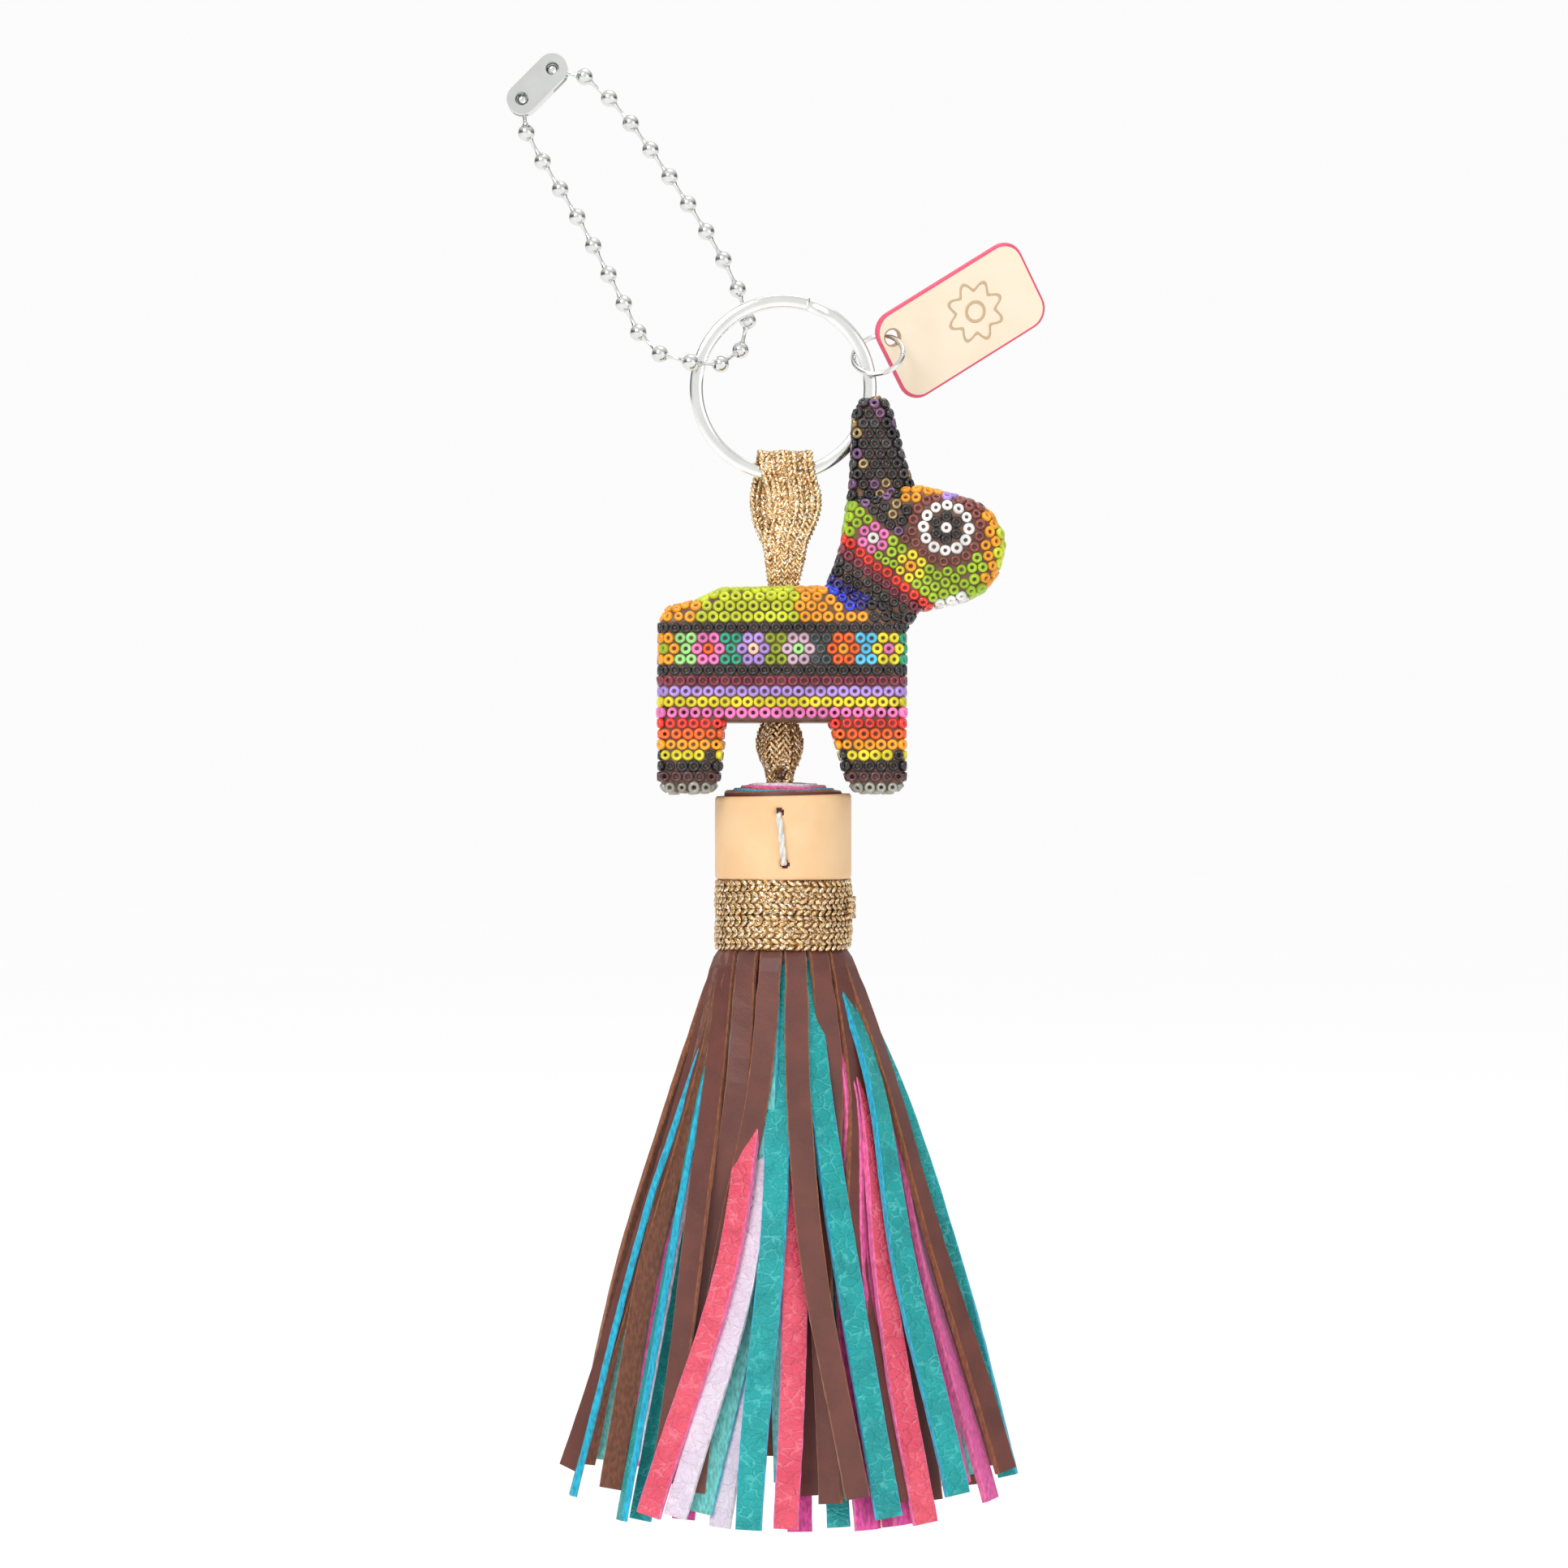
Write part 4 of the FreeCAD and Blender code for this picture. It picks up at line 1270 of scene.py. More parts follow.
    def fill_hue(self, p: Array, n: Array, chance: float) -> Hue:
        """The colour of a bead that no row has given one."""
        x, y, z = p
        level = x * self.tilt[0] + z * self.tilt[1]
        row = round((z - self.first_row) / self.row)
        if z < -40.6:
            if row < 0:
                return self.leg_hues[min(-row, 7) - 1]
            return self.body_hue(row, 0) or (Hue.BLACK if x > 13.0 else Hue.AMBER)
        if x < 6.0 or (level < -22.4 and x < 13.5):
            return Hue.LIME_YELLOW if -14.6 < x < 2.4 else Hue.AMBER
        if z < -37.4 and 13.5 < x < 25.5:
            return Hue.BLACK if chance < 0.7 else Hue.GUNMETAL
        if level < -17.6:
            if x > 17.0 or level > -19.6:
                return Hue.BLACK if chance < 0.7 else Hue.GUNMETAL
            return Hue.NAVY if level > -21.4 else Hue.BLUE
        if level < -13.4 and x < 27.0 and z > -39.0:
            return Hue.MAROON if level < -14.8 else Hue.RED
        if x > 19.5 and z < -17.3:
            return self.head_hue(p, chance)
        return self.flower_hue(p) if level < -8.6 else self.ear_hue(chance)

    def flower_hue(self, p: Array) -> Hue:
        """Lime, and yellow about the lower flower."""
        return Hue.YELLOW if math.hypot(p[0] - 21.5, p[2] + 31.2) < 2.4 else Hue.LIME

    def ear_hue(self, chance: float) -> Hue:
        """Black with scattered metal beads."""
        if chance < 0.18:
            return Hue.GOLD
        if chance < 0.31:
            return Hue.PURPLE
        return Hue.GUNMETAL if chance < 0.48 else Hue.BLACK

    def head_hue(self, p: Array, chance: float) -> Hue:
        """The bands of the head round the brown mask."""
        x, _, z = p
        far = math.hypot(x - self.eye[0], z - self.eye[1])
        if z < -36.0 and x > 25.5:
            return Hue.WHITE if chance < 0.8 else Hue.PALE
        if x > 36.0 and z > -33.0:
            return Hue.LIME_YELLOW
        if x > 34.0:
            return Hue.AMBER
        if z > -19.8:
            return Hue.AMBER if x < 27.5 else Hue.LILAC if x < 30.5 else Hue.MASK
        if far < 7.2 and z > -29.5:
            return Hue.MASK
        if x > 31.5 and z > -24.5:
            return Hue.RED if chance < 0.5 else Hue.ORANGE
        if x < 22.5 and z > -28.0:
            return self.ear_hue(chance)
        return self.flower_hue(p)

    def bead_shape(self) -> Shape:
        """One bead: a short rounded tube with its hole along Z."""
        a = np.linspace(0, 2 * np.pi, 7, endpoint=False) + 0.2
        profile = [(0.645 + 0.345 * math.cos(t), 0.62 * math.sin(t)) for t in a]
        return lathe(profile, 14)

    def build(self) -> None:
        """Covers the form and makes one piece for each colour of bead."""
        rng = np.random.default_rng(7)
        self.body_rows()
        self.eye_rings()
        self.neck_flowers()
        self.fixed = len(self.hues)
        self.neck_rows()
        self.ear_rows()
        LOG.info("%d beads in rows", len(self.places))
        self.fill()
        LOG.info("%d beads in all", len(self.places))
        places, normals = self.places, np.array(self.normals)
        chances = rng.random(len(places))
        hues = [h or self.fill_hue(places[i], normals[i], chances[i]) for i, h in enumerate(self.hues)]
        lean = unit(normals + rng.normal(0, 0.07, normals.shape))
        turn = rng.normal(0, 1, normals.shape)
        apart = np.linalg.norm(places[:, None] - places[None], axis=2) + np.eye(len(places)) * 9
        room = np.clip(np.min(apart, axis=1)[:, None] / 1.92, 0.80, 1.03)
        sizes = room * rng.normal(1.0, 0.02, (len(places), 3))
        raised = places + normals * rng.normal(0, 0.05, (len(places), 1))
        nodes = [
            "beads_body", "beads_back", "beads_neck", "beads_head", "beads_ears", "beads_eyes",
            "beads_leg_front_near", "beads_leg_front_far", "beads_leg_hind_near", "beads_leg_hind_far",
        ]
        for hue in Hue:
            mine = np.array([h is hue for h in hues])
            if not mine.any():
                continue
            cloth = Cloth()
            stamp(cloth, self.bead_shape(), raised[mine], turn[mine], lean[mine], sizes[mine])
            name = hue.name.lower()
            piece = cloth.build("beads_" + name, [Glass(name, hue.value[:3], hue.value[3]).make()])
            settle(piece, "donkey", Part.BEADS, *nodes)
            LOG.info("%s: %d beads", name, int(mine.sum()))
        self.wax_bed()

    def wax_bed(self) -> None:
        """The carved core with its wax drawn up between the beads."""
        core = bpy.data.objects["figure_core"]
        mesh = core.data.copy()
        bed = bpy.data.objects.new("wax_bed", mesh)
        bpy.context.scene.collection.objects.link(bed)
        grid = bed.modifiers.new("grid", "REMESH")
        grid.mode = "VOXEL"
        grid.voxel_size = self.wax_grid * MM
        shaped = bpy.data.meshes.new_from_object(bed.evaluated_get(bpy.context.evaluated_depsgraph_get()))
        bed.modifiers.clear()
        bed.data = shaped
        count = len(shaped.vertices)
        flat = np.empty(count * 3)
        shaped.vertices.foreach_get("co", flat)
        p = flat.reshape(-1, 3) / MM
        rise = -self.distance(p) - self.sunk
        open_part = (rise > 0.1) & (rise < 1.5) & (np.hypot(p[:, 0], p[:, 1] - FIGURE_Y) > self.lip)
        p = p + self.normal(p) * np.where(open_part, rise, 0.0)[:, None]
        shaped.vertices.foreach_set("co", (p * MM).reshape(-1))
        shaped.polygons.foreach_set("use_smooth", [True] * len(shaped.polygons))
        shaped.materials.clear()
        shaped.materials.append(Wax().make())
        shaped.polygons.foreach_set("material_index", [0] * len(shaped.polygons))
        settle(bed, "donkey", Part.CORE, "figure_core")


# ---------------------------------------------------------------- gold braid


@dataclass
class GoldBraid:
    """The metal braid: its loop on the ring, the bunch under the belly and the binding."""

    stitch_long: float = 1.5
    stitch_wide: float = 0.62
    stitch_thick: float = 0.42
    slant: float = 0.62
    bind_radius: float = 11.5
    bind_top: float = -84.1
    bind_end: float = -95.8

    def __post_init__(self) -> None:
        """Makes the braid's two finishes."""
        self.gold = Braid("gold_braid_wrap", (0.93, 0.67, 0.34), (0.52, 0.29, 0.11)).make()
        # The base sheet's copy is a dark brown gold: painted shade for the gaps between stitches.
        self.base = Braid("gold_braid_base", (0.42, 0.21, 0.07), (0.20, 0.09, 0.03)).make()

    def stitch_shape(self) -> Shape:
        """One plump stitch, long along X."""
        a = np.linspace(8, 172, 6)
        profile = [(0.5 * math.sin(math.radians(t)), 0.5 * math.cos(math.radians(t))) for t in a]
        points, faces = lathe(profile, 8, closed=False)
        return points[:, [2, 1, 0]], faces

    def lay(
        self, cloth: Cloth, places: Array, along: Array, out: Array, lean: Array, wide: Array | float = 1.0
    ) -> None:
        """Lays stitches on a surface.

        Args:
            cloth: what they are added to.
            places: their centres.
            along: the braid's direction at each.
            out: the surface's outward direction at each.
            lean: which way each leans, -1 or 1.
            wide: how much wider than usual each is.
        """
        tip = np.random.default_rng(len(places)).normal(0, 0.17, places.shape)
        out = unit(unit(out) + tip)
        side = np.cross(out, along)
        way = unit(along + side * (lean * self.slant)[:, None])
        sizes = np.tile([self.stitch_long, self.stitch_wide, self.stitch_thick], (len(places), 1))
        sizes[:, 1] *= wide
        stamp(cloth, self.stitch_shape(), places, way, out, sizes)

    def loop(self) -> None:
        """The flat braid over the ring's foot, wide above and gathered at the back."""
        y = FIGURE_Y
        path = spline(
            [
                (0, y - 0.8, -35.2), (0, y - 0.7, -31.5), (0, -4.2, -23.0), (0, -3.0, -17.0), (0, -2.9, -14.0),
                (0, -1.9, -11.8), (0, 0.0, -11.2), (0, 1.9, -11.8), (0, 2.9, -14.0), (0, 2.6, -17.6),
                (0, -1.4, -24.5), (0, y + 0.7, -31.5), (0, y + 0.8, -35.2),
            ],
            66,
        )
        way = tangents(path)
        out = unit(np.cross(way, [1.0, 0, 0]) * -1)
        share = np.linspace(0, 1, len(path))
        fall = np.clip((-path[:, 2] - 12.0) / 22.0, 0, 1)
        width = np.interp(-path[:, 2], [11.0, 14.0, 19.0, 24.0, 31.0, 34.4], [9.3, 9.2, 9.4, 8.6, 6.0, 4.6])
        pull = np.exp(-(((path[:, 2] + 19.5) / 5.0) ** 2)) * np.where(share < 0.45, 1.5, -1.6)
        middle = 0.2 + 1.2 * fall * (1 - fall) - 0.2 * fall + pull
        cloth = Cloth()
        section = np.stack([bar_section(w - 0.5, 0.62, 0.2) for w in width])
        base = path + np.stack([middle, 0 * middle, 0 * middle], 1)
        # The base sheet under the stitches takes the dark copy, painted shade between them.
        cloth.add(*sweep(base, np.tile([1.0, 0, 0], (len(path), 1)), section)[:2], 1)
        columns = 10
        ripple = np.sin(share * 31.0) * 0.12
        for face in (1, -1):
            for c in range(columns):
                u = (c + 0.5) / columns - 0.5
                fold = 0.34 * math.cos(u * 2 * math.pi * 2.0)
                p = base + np.stack([u * width + ripple, 0 * share, 0 * share], 1)
                p = p + out * (face * (0.30 + fold * 0.4))
                lean = np.full(len(path), -1.0 if c % 2 else 1.0)
                self.lay(cloth, p, way, out * face, lean, width / 7.6)
        piece = cloth.build("gold_braid_loop", [self.gold, self.base])
        settle(piece, "hanger", Part.BRAID, "ribbon_loop")

    def bunch(self) -> None:
        """The gathered braid between belly and tassel."""
        cloth = Cloth()
        rows = 17
        for r in range(rows):
            t = r / (rows - 1)
            z = -57.7 - t * 9.6
            radius = 2.2 + 1.35 * math.sin(math.pi * min(1, t * 1.15 + 0.05)) ** 0.8
            number = 20
            a = (np.arange(number) + 0.5 * (r % 2)) * 2 * np.pi / number
            crease = 1 + 0.12 * np.cos(a * 4 + r * 0.2)
            out = circle(a)[0]
            p = out * (radius * crease)[:, None] + np.array([-0.6, FIGURE_Y, z])
            down = np.tile([0.0, 0, -1.0], (number, 1))
            self.lay(cloth, p, down, out, np.where(np.arange(number) % 2 == 0, 1.0, -1.0))
        profile = [(0.01, -57.4), (1.7, -57.4), (2.6, -60.5), (3.1, -63.5), (2.3, -67.2), (0.01, -67.3)]
        points, faces = lathe(profile, 24, closed=False)
        # The core under the bunch's stitches takes the dark copy, painted shade between them.
        cloth.add(points + np.array([-0.6, FIGURE_Y, 0]), faces, 1)
        piece = cloth.build("gold_braid_bunch", [self.gold, self.base])
        settle(piece, "tassel_neck", Part.BRAID, "ribbon_neck")

    def binding(self) -> None:
        """Two level turns round the tassel, and the tucked end."""
        cloth = Cloth()
        half = (self.bind_top + self.bind_end) / 2
        for top, low in ((self.bind_top, half + 0.02), (half - 0.02, self.bind_end)):
            rows = 6
            for r in range(rows):
                t = (r + 0.5) / rows
                z = top + (low - top) * t
                bulge = 0.34 * math.sin(math.pi * t) ** 0.5
                number = 52
                a = (np.arange(number) + 0.5 * (r // 2 % 2)) * 2 * np.pi / number
                radius = self.bind_radius + bulge - 0.28 + 0.05 * np.sin(a * 5 + r)
                out, onward = circle(a)
                wave = 0.16 * np.sin(a * 3 + 1.0)
                p = out * radius[:, None] + np.stack([0 * a, 0 * a + FIGURE_Y, z + wave], 1)
                self.lay(cloth, p, onward, out, np.full(number, 1.0 if r % 2 else -1.0), 1.3)
            profile = [(10.5, top), (11.25, top), (11.4, (top + low) / 2), (11.25, low), (10.5, low)]
            points, faces = lathe(profile, 64)
            # The band under each turn's stitches takes the dark copy, painted shade between them.
            cloth.add(points + AXIS, faces, 1)
        self.tucked_end(cloth)
        piece = cloth.build("gold_braid_binding", [self.gold, self.base])
        nodes = ("binding_turn_upper", "binding_turn_lower", "binding_end", "ribbon_knot")
        settle(piece, "tassel_head", Part.BRAID, *nodes)

    def tucked_end(self, cloth: Cloth) -> None:
        """The tail, lying over the turns at the muzzle side."""
        for k in range(4):
            z = -87.4 - k * 0.95
            a = np.radians(np.linspace(-24, 6, 9)) + 0.03 * (k % 2)
            out, onward = circle(a)
            p = out * (self.bind_radius + 0.62) + np.array([0, FIGURE_Y, z])
            self.lay(cloth, p, onward, out, np.full(len(a), 1.0 if k % 2 else -1.0), 1.1)

    def build(self) -> None:
        """Makes the three lengths of braid."""
        self.loop()
        self.bunch()
        self.binding()


# ---------------------------------------------------------------- tassel


@dataclass
class Strip:
    """One cut strip of the fringe: how far along X it is at three heights, and how deep it lies."""

    hide: str
    angle: float
    across: tuple[float, float, float]
    end: float
    deep: float = 0.0
    twist: float = 0.0
    width: float = 3.9
    since: float = -119.0
    side: int = -1


@dataclass
class Tassel:
    """The rolled fringed leathers, their cap and its stitch."""

    cap_radius: float = 11.6
    cap_top: float = -69.75
    cap_end: float = -84.0
    seed: int = 12
    thick: float = 1.15
    start: float = -95.2
    lead: float = 14.0
    layers: dict[str, float] = field(
        default_factory=lambda: {"brown": 9.55, "teal": 8.2, "coral": 6.85, "lilac": 5.5}
    )

    def front_strips(self) -> list[Strip]:
        """The strips of the front half, from the rump side to the muzzle side."""
        return [
            Strip("brown", 168, (-16.4, -25.4, -36.0), -182.8, 0.8, 10),
            Strip("teal", 163, (-16.3, -25.6, -35.2), -187.0, -0.8, 58, 3.4, -104.0),
            Strip("brown", 155, (-14.8, -22.8, -28.6), -185.2, 1.6, 168, 3.8, -108.0),
            Strip("teal", 150, (-13.8, -19.4, -26.8), -190.0, -0.6, 54, 3.4, -104.0),
            Strip("brown", 146, (-11.8, -15.6, -20.0), -183.6, 2.2, 8, 3.9, -148.0),
            Strip("brown", 123, (-7.9, -12.4, -16.6), -184.0, 3.6, -14),
            Strip("brown", 101, (-4.3, -10.4, -14.6), -185.2, 3.6, -14, 3.9, -116.0),
            Strip("coral", 113, (-5.2, -9.9, -22.0), -189.0, -1.8, 6, 4.1),
            Strip("lilac", 107, (-3.6, -6.5, -17.8), -189.0, -2.4, 4, 4.0, -122.0),
            Strip("teal", 104, (-3.0, -5.2, -13.7), -188.6, 3.0, 176, 4.2),
            Strip("lilac", 100, (-2.0, -4.2, -10.4), -191.0, 1.0, 8, 3.8),
            Strip("teal", 91, (-0.7, -2.2, -5.9), -190.6, -0.4, 2, 4.4),
            Strip("coral", 86, (0.7, 1.7, 0.6), -190.6, -0.8, -3, 4.2),
            Strip("brown", 79, (2.6, 5.4, 12.1), -185.5, 0.0, 5, 4.1),
            Strip("teal", 67, (6.1, 10.7, 17.6), -189.0, -0.2, -4, 4.5),
            Strip("brown", 57, (8.0, 6.6, 7.6), -186.8, 3.2, 26, 3.9, -98.0),
            Strip("coral", 52, (11.4, 10.6, 13.6), -191.4, 1.6, 170, 3.9),
            Strip("brown", 35, (12.4, 12.4, 20.6), -186.6, 2.4, -22, 3.9, -97.0),
            Strip("coral", 41, (12.7, 14.2, 20.0), -190.6, 0.4, 156, 3.8),
            Strip("coral", 35, (13.7, 16.8, 23.4), -190.4, -1.0, -10, 4.3),
            Strip("lilac", 31, (14.4, 18.6, 26.0), -184.6, 2.4, 4, 3.8),
            Strip("teal", 23, (15.7, 20.6, 28.8), -186.0, -1.2, -5, 4.5, -98.0),
            Strip("coral", 17, (17.6, 24.0, 35.0), -188.0, 0.6, 150, 4.0),
            Strip("brown", 12, (18.5, 27.0, 37.6), -183.4, -0.6, -10, 4.2),
            Strip("teal", 5, (19.3, 28.9, 38.2), -184.8, 0.8, 56, 3.4),
            Strip("brown", 20, (15.4, 19.2, 24.8), -187.4, 6.0, 20, 3.9, -95.0),
            Strip("teal", 74, (4.8, 6.6, 9.6), -191.2, 5.6, 12, 3.9, -78.0),
            Strip("coral", 84, (1.2, 1.8, 2.4), -192.2, 6.2, 172, 4.0, -78.0),
            Strip("coral", 60, (6.8, 10.6, 14.4), -192.0, 6.0, 168, 4.0, -78.0),
            Strip("coral", 47, (10.0, 13.6, 18.2), -191.6, 5.4, 172, 4.0, -78.0),
            Strip("coral", 128, (-8.4, -12.6, -16.6), -190.4, 5.6, 176, 3.9, -78.0),
            Strip("teal", 141, (-11.2, -16.4, -23.6), -190.4, 3.8, 10, 3.9),
            Strip("brown", 92, (0.8, 2.8, 4.8), -186.0, 7.0, 14, 3.9, -94.0),
        ]

    def back_strips(self) -> list[Strip]:
        """The strips of the far half, spread evenly with some chance in them."""
        rng = np.random.default_rng(self.seed)
        reach = {"brown": 1.0, "teal": 0.93, "coral": 0.86, "lilac": 0.78}
        strips = []
        for name, count in (("brown", 9), ("teal", 7), ("coral", 6), ("lilac", 4)):
            for i in range(count):
                a = 172 - 164 * (i + 0.5) / count + rng.normal(0, 2)
                way = math.cos(math.radians(a + rng.normal(0, 3))) * reach[name]
                across = (18.6 * math.cos(math.radians(a)) * reach[name], 27.5 * way, 36.5 * way + 1.0)
                end = -184.0 - 7.0 * rng.random()
                strips.append(Strip(name, a, across, end, 0.0, rng.normal(0, 12), 3.9, -119.0, 1))
        return strips

    def strip(self, cloth: Cloth, strip: Strip, rng: np.random.Generator) -> float:
        """Bends one strip down from the binding, over the cone that its layer hangs on.

        Args:
            cloth: what it is added to.
            strip: where it goes.
            rng: the chance in its waviness.

        Returns:
            Its length in millimetres.
        """
        root = self.layers[strip.hide]
        a = math.radians(strip.angle)
        heights = [self.start, -98.6, -120.0, -150.0, strip.end]
        across = [root * math.cos(a), (root + 1.7) * math.cos(a), *strip.across]
        rough = spline([(x, 0.0, z) for x, z in zip(across, heights)], 44)
        drop = np.maximum(0.0, -96.8 - rough[:, 2])
        swell = np.clip((-95.4 - rough[:, 2]) / 2.4, 0, 1)
        behind = (9.55 - root) * 1.08 + np.clip((strip.since - rough[:, 2]) / 21, 0, 1) * strip.deep
        wide_x = 9.6 + 2.0 * swell + 0.318 * drop
        wide_y = 9.6 + 1.9 * swell + 0.150 * drop
        u = np.clip(rough[:, 0] / np.maximum(wide_x, np.abs(rough[:, 0])), -0.995, 0.995)
        over = np.sqrt(1 - u * u)
        y = np.maximum(wide_y * over - behind, 0.4)
        path = np.stack([rough[:, 0], FIGURE_Y + strip.side * y, rough[:, 2]], 1)
        ease = np.linspace(0, 1, len(path))
        u = u * (1 - 0.3 * ease)
        side = np.stack([wide_x * np.sqrt(1 - u * u), -strip.side * wide_y * u, 0 * u], 1) * -strip.side
        way = tangents(path)
        side = unit(side - way * np.sum(side * way, 1, keepdims=True))
        flip = 180.0 if strip.twist > 90 else 0.0
        turn = np.radians(flip + (strip.twist - flip) * np.clip((ease - 0.04) / 0.42, 0, 1))
        if strip.hide != "brown":
            z = rough[:, 2]
            share = np.clip((-97.0 - z) / 8, 0, 1) - np.clip((strip.since - 15.0 - z) / 30, 0, 1)
            turn = turn + math.radians(self.lead) * strip.side * math.copysign(1.0, math.cos(a)) * share
        side = side * np.cos(turn)[:, None] + np.cross(way, side) * np.sin(turn)[:, None]
        wave = np.sin(ease * rng.uniform(5, 9) + rng.uniform(0, 6)) * rng.uniform(0.1, 0.4) * ease
        path = path + side * wave[:, None]
        wide = strip.width * (1 + 0.03 * np.sin(ease * 9 + rng.uniform(0, 6)))
        wide[:4] = min(strip.width, 0.375 * root)
        section = np.stack([bar_section(w, self.thick, 0.16) for w in wide])
        section = section + rng.normal(0, 0.03, section.shape)
        points, faces, sides = sweep(path, side, section)
        kinds = [{0: 0, 4: 1}.get(s, 2) for s in sides]
        cloth.add(points, faces, kinds)
        return float(np.linalg.norm(np.diff(path, axis=0), axis=1).sum())

    def fringe(self, strips: list[Strip], half: str) -> None:
        """Makes one piece of each leather's strips in one half of the fringe."""
        rng = np.random.default_rng(self.seed + len(half))
        finishes = {name: [hide.make(face) for face in Face] for name, hide in HIDES.items()}
        for name, hide in HIDES.items():
            mine = [s for s in strips if s.hide == name]
            cloth = Cloth()
            lengths = [self.strip(cloth, s, rng) for s in mine]
            piece = cloth.build(f"{name}_strips_{half}", finishes[name], smooth=False)
            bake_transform(piece)
            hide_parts(f"{name}_fringe_{half}")
            width = sum(s.width for s in mine) * MM
            LOG.info("%s: %d strips", piece.name, len(mine))

    def rolls(self) -> None:
        """The rolled heads of the leathers, whose tops show above the cap."""
        tops = {"brown": -69.0, "teal": -68.7, "coral": -68.2, "lilac": -67.8}
        for name, radius in self.layers.items():
            hide = HIDES[name]
            cloth = Cloth()
            t = self.thick / 2
            z = tops[name]
            profile = [
                (radius + t, -95.6), (radius + t, z - 0.35), (radius + t * 0.6, z), (radius - t * 0.6, z),
                (radius - t, z - 0.35), (radius - t, -95.6),
            ]
            points, faces = lathe(profile, 72)
            turn = np.arctan2(points[:, 1], points[:, 0])
            high = points[:, 2] > -72
            points[:, 2] += np.where(high, 0.12 * np.sin(turn * 2 + radius) + 0.05 * np.sin(turn * 7), 0)
            points[:, :2] *= (1 + 0.012 * np.sin(turn * 5 + radius))[:, None] * 0.985
            kinds = [{0: 0, 4: 1}.get(i % 6, 2) for i in range(len(faces))]
            cloth.add(points + AXIS, faces, kinds)
            piece = cloth.build(f"{name}_rolled_head", [hide.make(face) for face in Face])
            settle(piece, "tassel_head", Part(f"{name}_leather"), f"{name}_roll")

    def cap(self) -> None:
        """The leather band with a butt seam behind and two stitch holes in front, made as shallow pits coloured
        as painted shade.
        """
        holes = np.array([(-0.75, -72.4), (0.1, -81.2)])
        columns, rows = 220, 44
        a = np.linspace(0, 2 * np.pi, columns, endpoint=False) + np.pi / 2 + 0.012
        spread = np.linspace(0, 1, rows)
        z = self.cap_top + (self.cap_end - self.cap_top) * spread
        angle, height = np.meshgrid(a, z, indexing="ij")
        edge = np.minimum(spread, 1 - spread) * (self.cap_top - self.cap_end)
        radius = self.cap_radius - 0.3 * np.exp(-edge / 0.22)[None] + 0.05 * np.sin(angle * 3)
        x = np.cos(angle) * self.cap_radius
        front = np.sin(angle) < 0
        for hx, hz in holes:
            far = np.hypot(x - hx, height - hz)
            pit = 0.75 * np.exp(-((far / 0.75) ** 4)) + 0.12 * np.exp(-((far / 1.9) ** 2))
            radius = radius - np.where(front, pit, 0)
        outer = np.stack([radius * np.cos(angle), radius * np.sin(angle), height], -1)
        inner_r = self.cap_radius - 1.3
        inner = np.stack([inner_r * np.cos(angle), inner_r * np.sin(angle), height], -1)
        rise = 0.28 * np.cos(angle[:, :1] - 0.5)
        outer[..., 2] += rise * (1 - spread)[None]
        inner[..., 2] += rise * (1 - spread)[None]
        skin = np.concatenate([outer, inner[:, ::-1]], 1)
        n, m = skin.shape[:2]
        faces, kinds = [], []
        for i in range(n - 1):
            for k in range(m):
                q = (k + 1) % m
                faces.append((i * m + k, i * m + q, (i + 1) * m + q, (i + 1) * m + k))
                # Faces in the front pits take the near-black leather: painted shade standing in for the depth
                # of the holes.
                pit = np.hypot(skin[i, k, 0] - holes[:, 0], skin[i, k, 2] - holes[:, 1]).min() < 0.72
                kinds.append(2 if pit and skin[i, k, 1] < 0 else 0 if k not in (rows - 1, m - 1) else 1)
        faces += [tuple(range(m)), tuple(reversed(range((n - 1) * m, n * m)))]
        kinds += [1, 1]
        cloth = Cloth()
        cloth.add(skin.reshape(-1, 3) + AXIS, [f[::-1] for f in faces], kinds)
        leathers = [
            Tanned("cap_face", (0.90, 0.61, 0.34), (0.84, 0.51, 0.25)).make(),
            Tanned("cap_edge", (0.70, 0.46, 0.25), (0.52, 0.30, 0.14)).make(),
            # Near-black: painted shade inside the stitch holes.
            Tanned("cap_pit", (0.16, 0.035, 0.022), (0.07, 0.015, 0.010)).make(),
        ]
        piece = cloth.build("cap_band", leathers)
        settle(piece, "tassel_head", Part.CAP, "leather_cap")
        self.stitch(holes)

    def stitch(self, holes: Array) -> None:
        """The thread between the holes, two plies laid together."""
        y = FIGURE_Y - self.cap_radius
        (tx, tz), (lx, lz) = holes
        stops = [
            (tx + 0.05, y + 1.0, tz - 0.7), (tx + 0.05, y + 0.2, tz - 0.75), (tx + 0.1, y - 0.4, tz - 1.3),
            ((tx + lx) / 2, y - 0.55, (tz + lz) / 2), (lx - 0.05, y - 0.45, lz + 0.7), (lx, y - 0.1, lz + 0.05),
            (lx, y + 0.8, lz),
        ]
        path = spline(stops, 46)
        across = np.tile([1.0, 0.0, 0.0], (len(path), 1))
        cloth = Cloth()
        way = tangents(path)
        up = unit(np.cross(way, across))
        spin = np.linspace(0, 4.2 * np.pi, len(path))[:, None]
        for ply in range(2):
            off = (across * np.cos(spin + ply * np.pi) + up * np.sin(spin + ply * np.pi)) * 0.22
            cloth.add(*sweep(path + off, across, round_section(0.36, 10))[:2])
        piece = cloth.build("stitch_plies", [Waxed("white_thread", (0.86, 0.84, 0.78)).make()])
        settle(piece, "tassel_head", Part.THREAD, "stitch_thread")

    def build(self) -> None:
        """Makes the tassel from the cap down."""
        self.cap()
        self.rolls()
        self.fringe(self.front_strips(), "front")
        self.fringe(self.back_strips(), "back")


# ---------------------------------------------------------------- studio


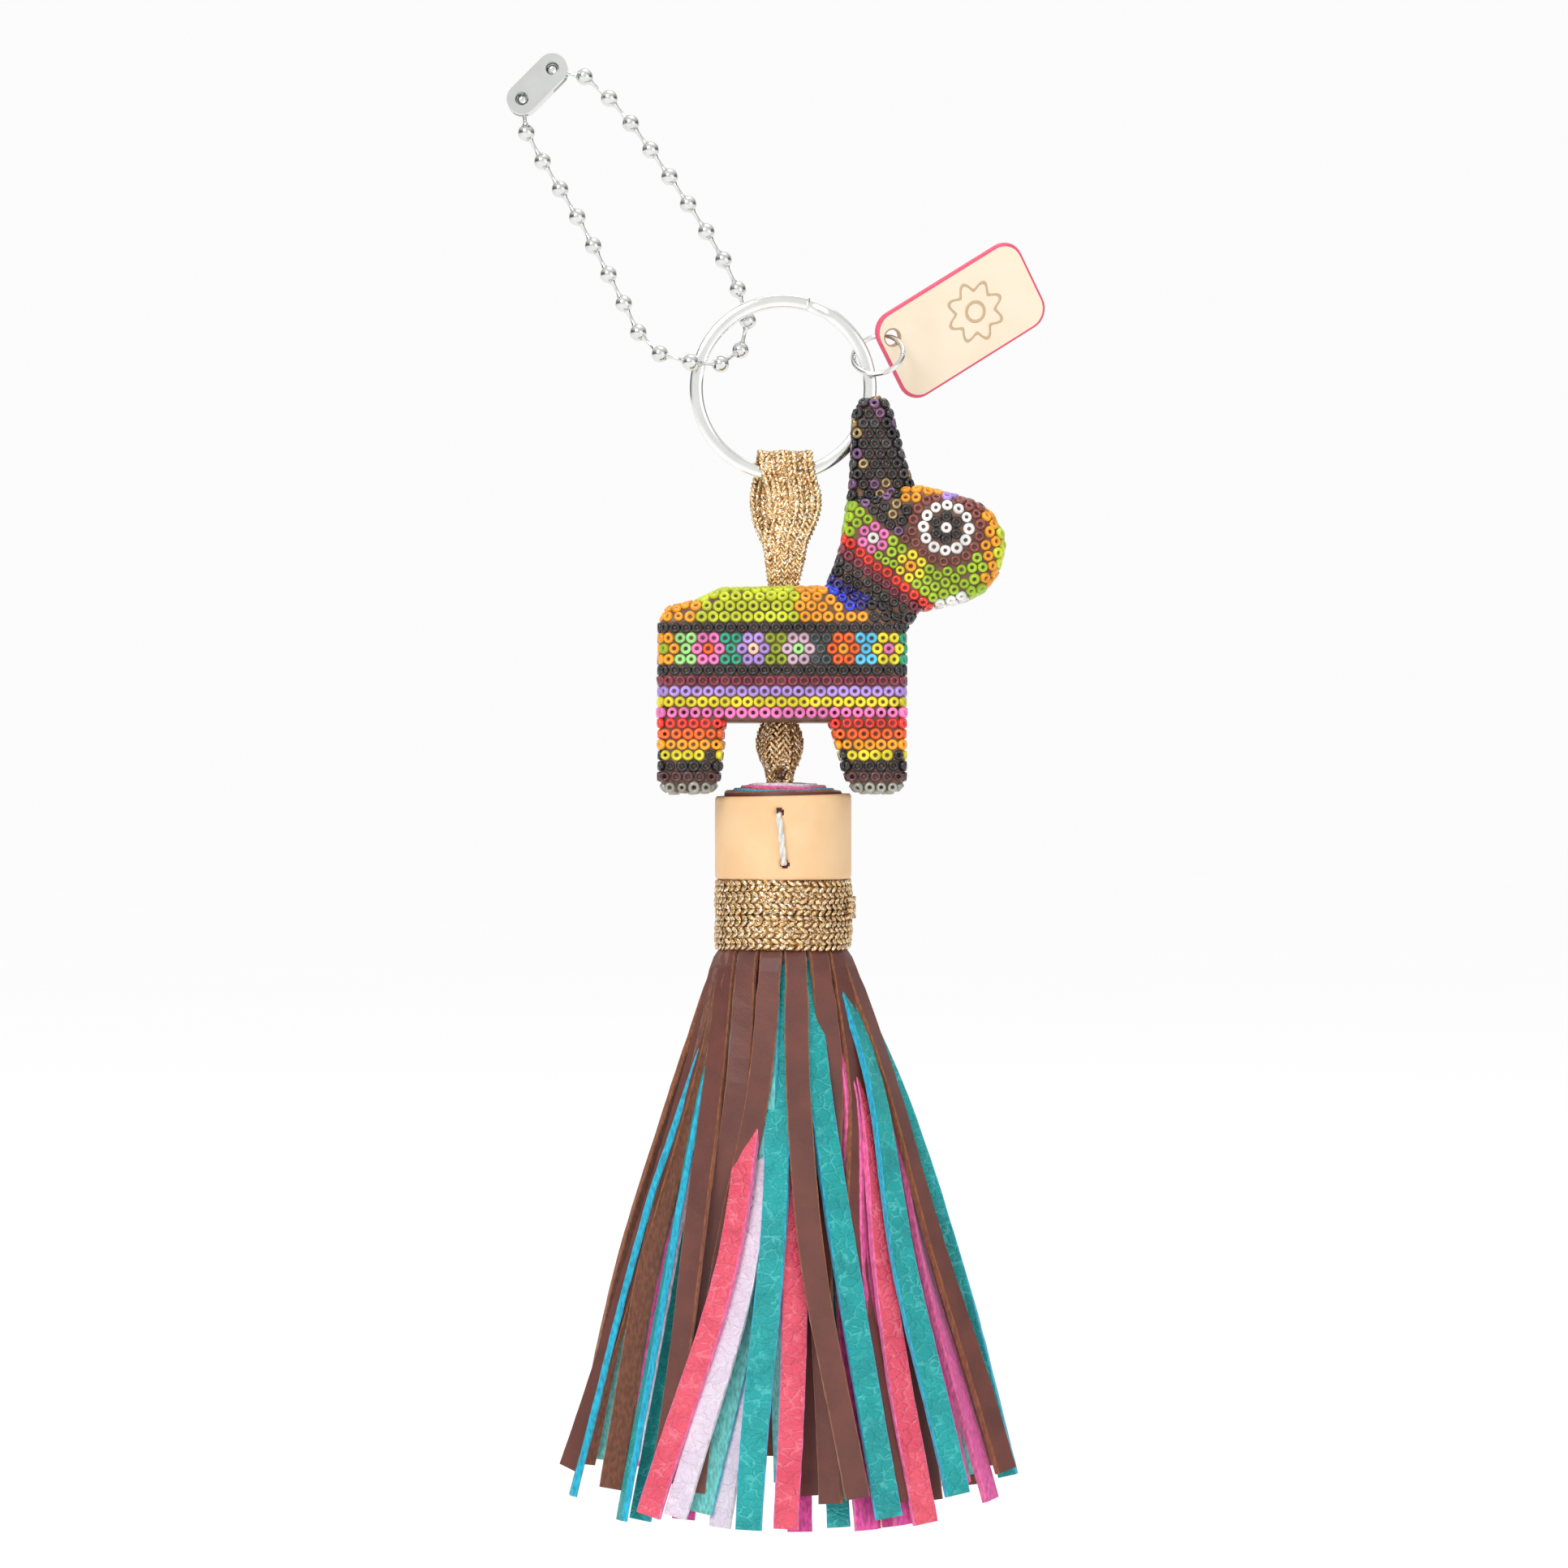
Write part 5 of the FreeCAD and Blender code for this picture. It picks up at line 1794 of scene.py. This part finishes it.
@dataclass
class Studio:
    """Floor, lights and camera."""

    frame_width: float = 266.6
    aim: tuple[float, float, float] = (0.14, FIGURE_Y, -67.9)
    lens: float = 100.0
    sensor: float = 36.0
    floor_half: float = 9000.0
    floor_z: float = -210.0

    def build(self) -> None:
        """Sets the scene round the hanging charm."""
        floor = Cloth()
        corners = [(-1, -1, 0), (1, -1, 0), (1, 1, 0), (-1, 1, 0)]
        floor.add(np.array(corners, float) * self.floor_half, [(0, 1, 2, 3)])
        s = Shade("studio_floor")
        cloud = s.noise(2.0, 2.0)
        sheet = s.finish(
            Base_Color=s.mix(cloud, (0.40, 0.40, 0.40), (0.42, 0.42, 0.42)),
            Roughness=0.95,
            Specular_IOR_Level=0.0,
            Emission_Color=(1.0, 1.0, 1.0),
            Emission_Strength=0.66,
        )
        plane = floor.build("floor_sheet", [sheet])
        plane.location.z = self.floor_z * MM
        self.light("key_light", (-0.5, -0.85, 0.6), 0.45, 5.2)
        self.light("fill_light", (0.85, -0.8, 0.1), 0.9, 1.6)
        self.light("top_light", (0.1, 0.1, 0.95), 0.6, 2.2)
        self.air()
        bpy.context.scene.view_settings.view_transform = "Standard"
        camera = bpy.data.cameras.new("portrait_camera")
        camera.lens = self.lens
        camera.sensor_width = self.sensor
        camera.clip_start, camera.clip_end = 0.01, 50.0
        holder = bpy.data.objects.new("portrait_camera", camera)
        bpy.context.scene.collection.objects.link(holder)
        back = self.frame_width * MM * self.lens / self.sensor
        holder.location = (self.aim[0] * MM, self.aim[1] * MM - back, self.aim[2] * MM)
        holder.rotation_euler = (math.pi / 2, 0.0, 0.0)
        bpy.context.scene.camera = holder

    def air(self) -> None:
        """The white room: bright before, behind and above, dimmer at the sides and below."""
        world = bpy.data.worlds.new("studio_air")
        bpy.context.scene.world = world
        world.use_nodes = True
        air = Nodes(world.node_tree)
        way = air.node("ShaderNodeTexCoord", {}, {}, "Generated")
        ahead = air.node("ShaderNodeSeparateXYZ", {}, {0: way}, "Y")
        up = air.node("ShaderNodeSeparateXYZ", {}, {0: way}, "Z")
        ends = air.node("ShaderNodeMath", {"operation": "ABSOLUTE"}, {0: ahead}).above(0.66, 0.2)
        wide = air.node("ShaderNodeMath", {"operation": "MAXIMUM"}, {0: ends, 1: up.above(0.5, 0.3)})
        room = wide * 0.74 + 0.14
        seen = air.node("ShaderNodeLightPath", {}, {}, "Is Camera Ray")
        strength = room + seen * (0.97 - room)
        world.node_tree.links.new(strength.socket, world.node_tree.nodes["Background"].inputs["Strength"])
        world.node_tree.nodes["Background"].inputs["Color"].default_value = (1.0, 1.0, 1.0, 1.0)

    def light(self, name: str, place: tuple[float, float, float], size: float, power: float) -> None:
        """Adds one soft box aimed at the charm's middle."""
        data = bpy.data.lights.new(name, "AREA")
        data.energy = power
        data.size = size
        made = bpy.data.objects.new(name, data)
        bpy.context.scene.collection.objects.link(made)
        made.location = place
        aim = Vector((0.0, 0.0, -0.07)) - made.location
        made.rotation_euler = aim.to_track_quat("-Z", "Y").to_euler()


def main() -> None:
    """Builds the charm from the ring down, then the studio."""
    logging.basicConfig(level=logging.INFO, format="%(name)s %(message)s")
    jump = JumpRing()
    SplitRing().build()
    jump.build()
    Tag(jump).build()
    BallChain().build()
    GoldBraid().build()
    Donkey().build()
    Tassel().build()
    Studio().build()


if __name__ == "__main__":
    main()
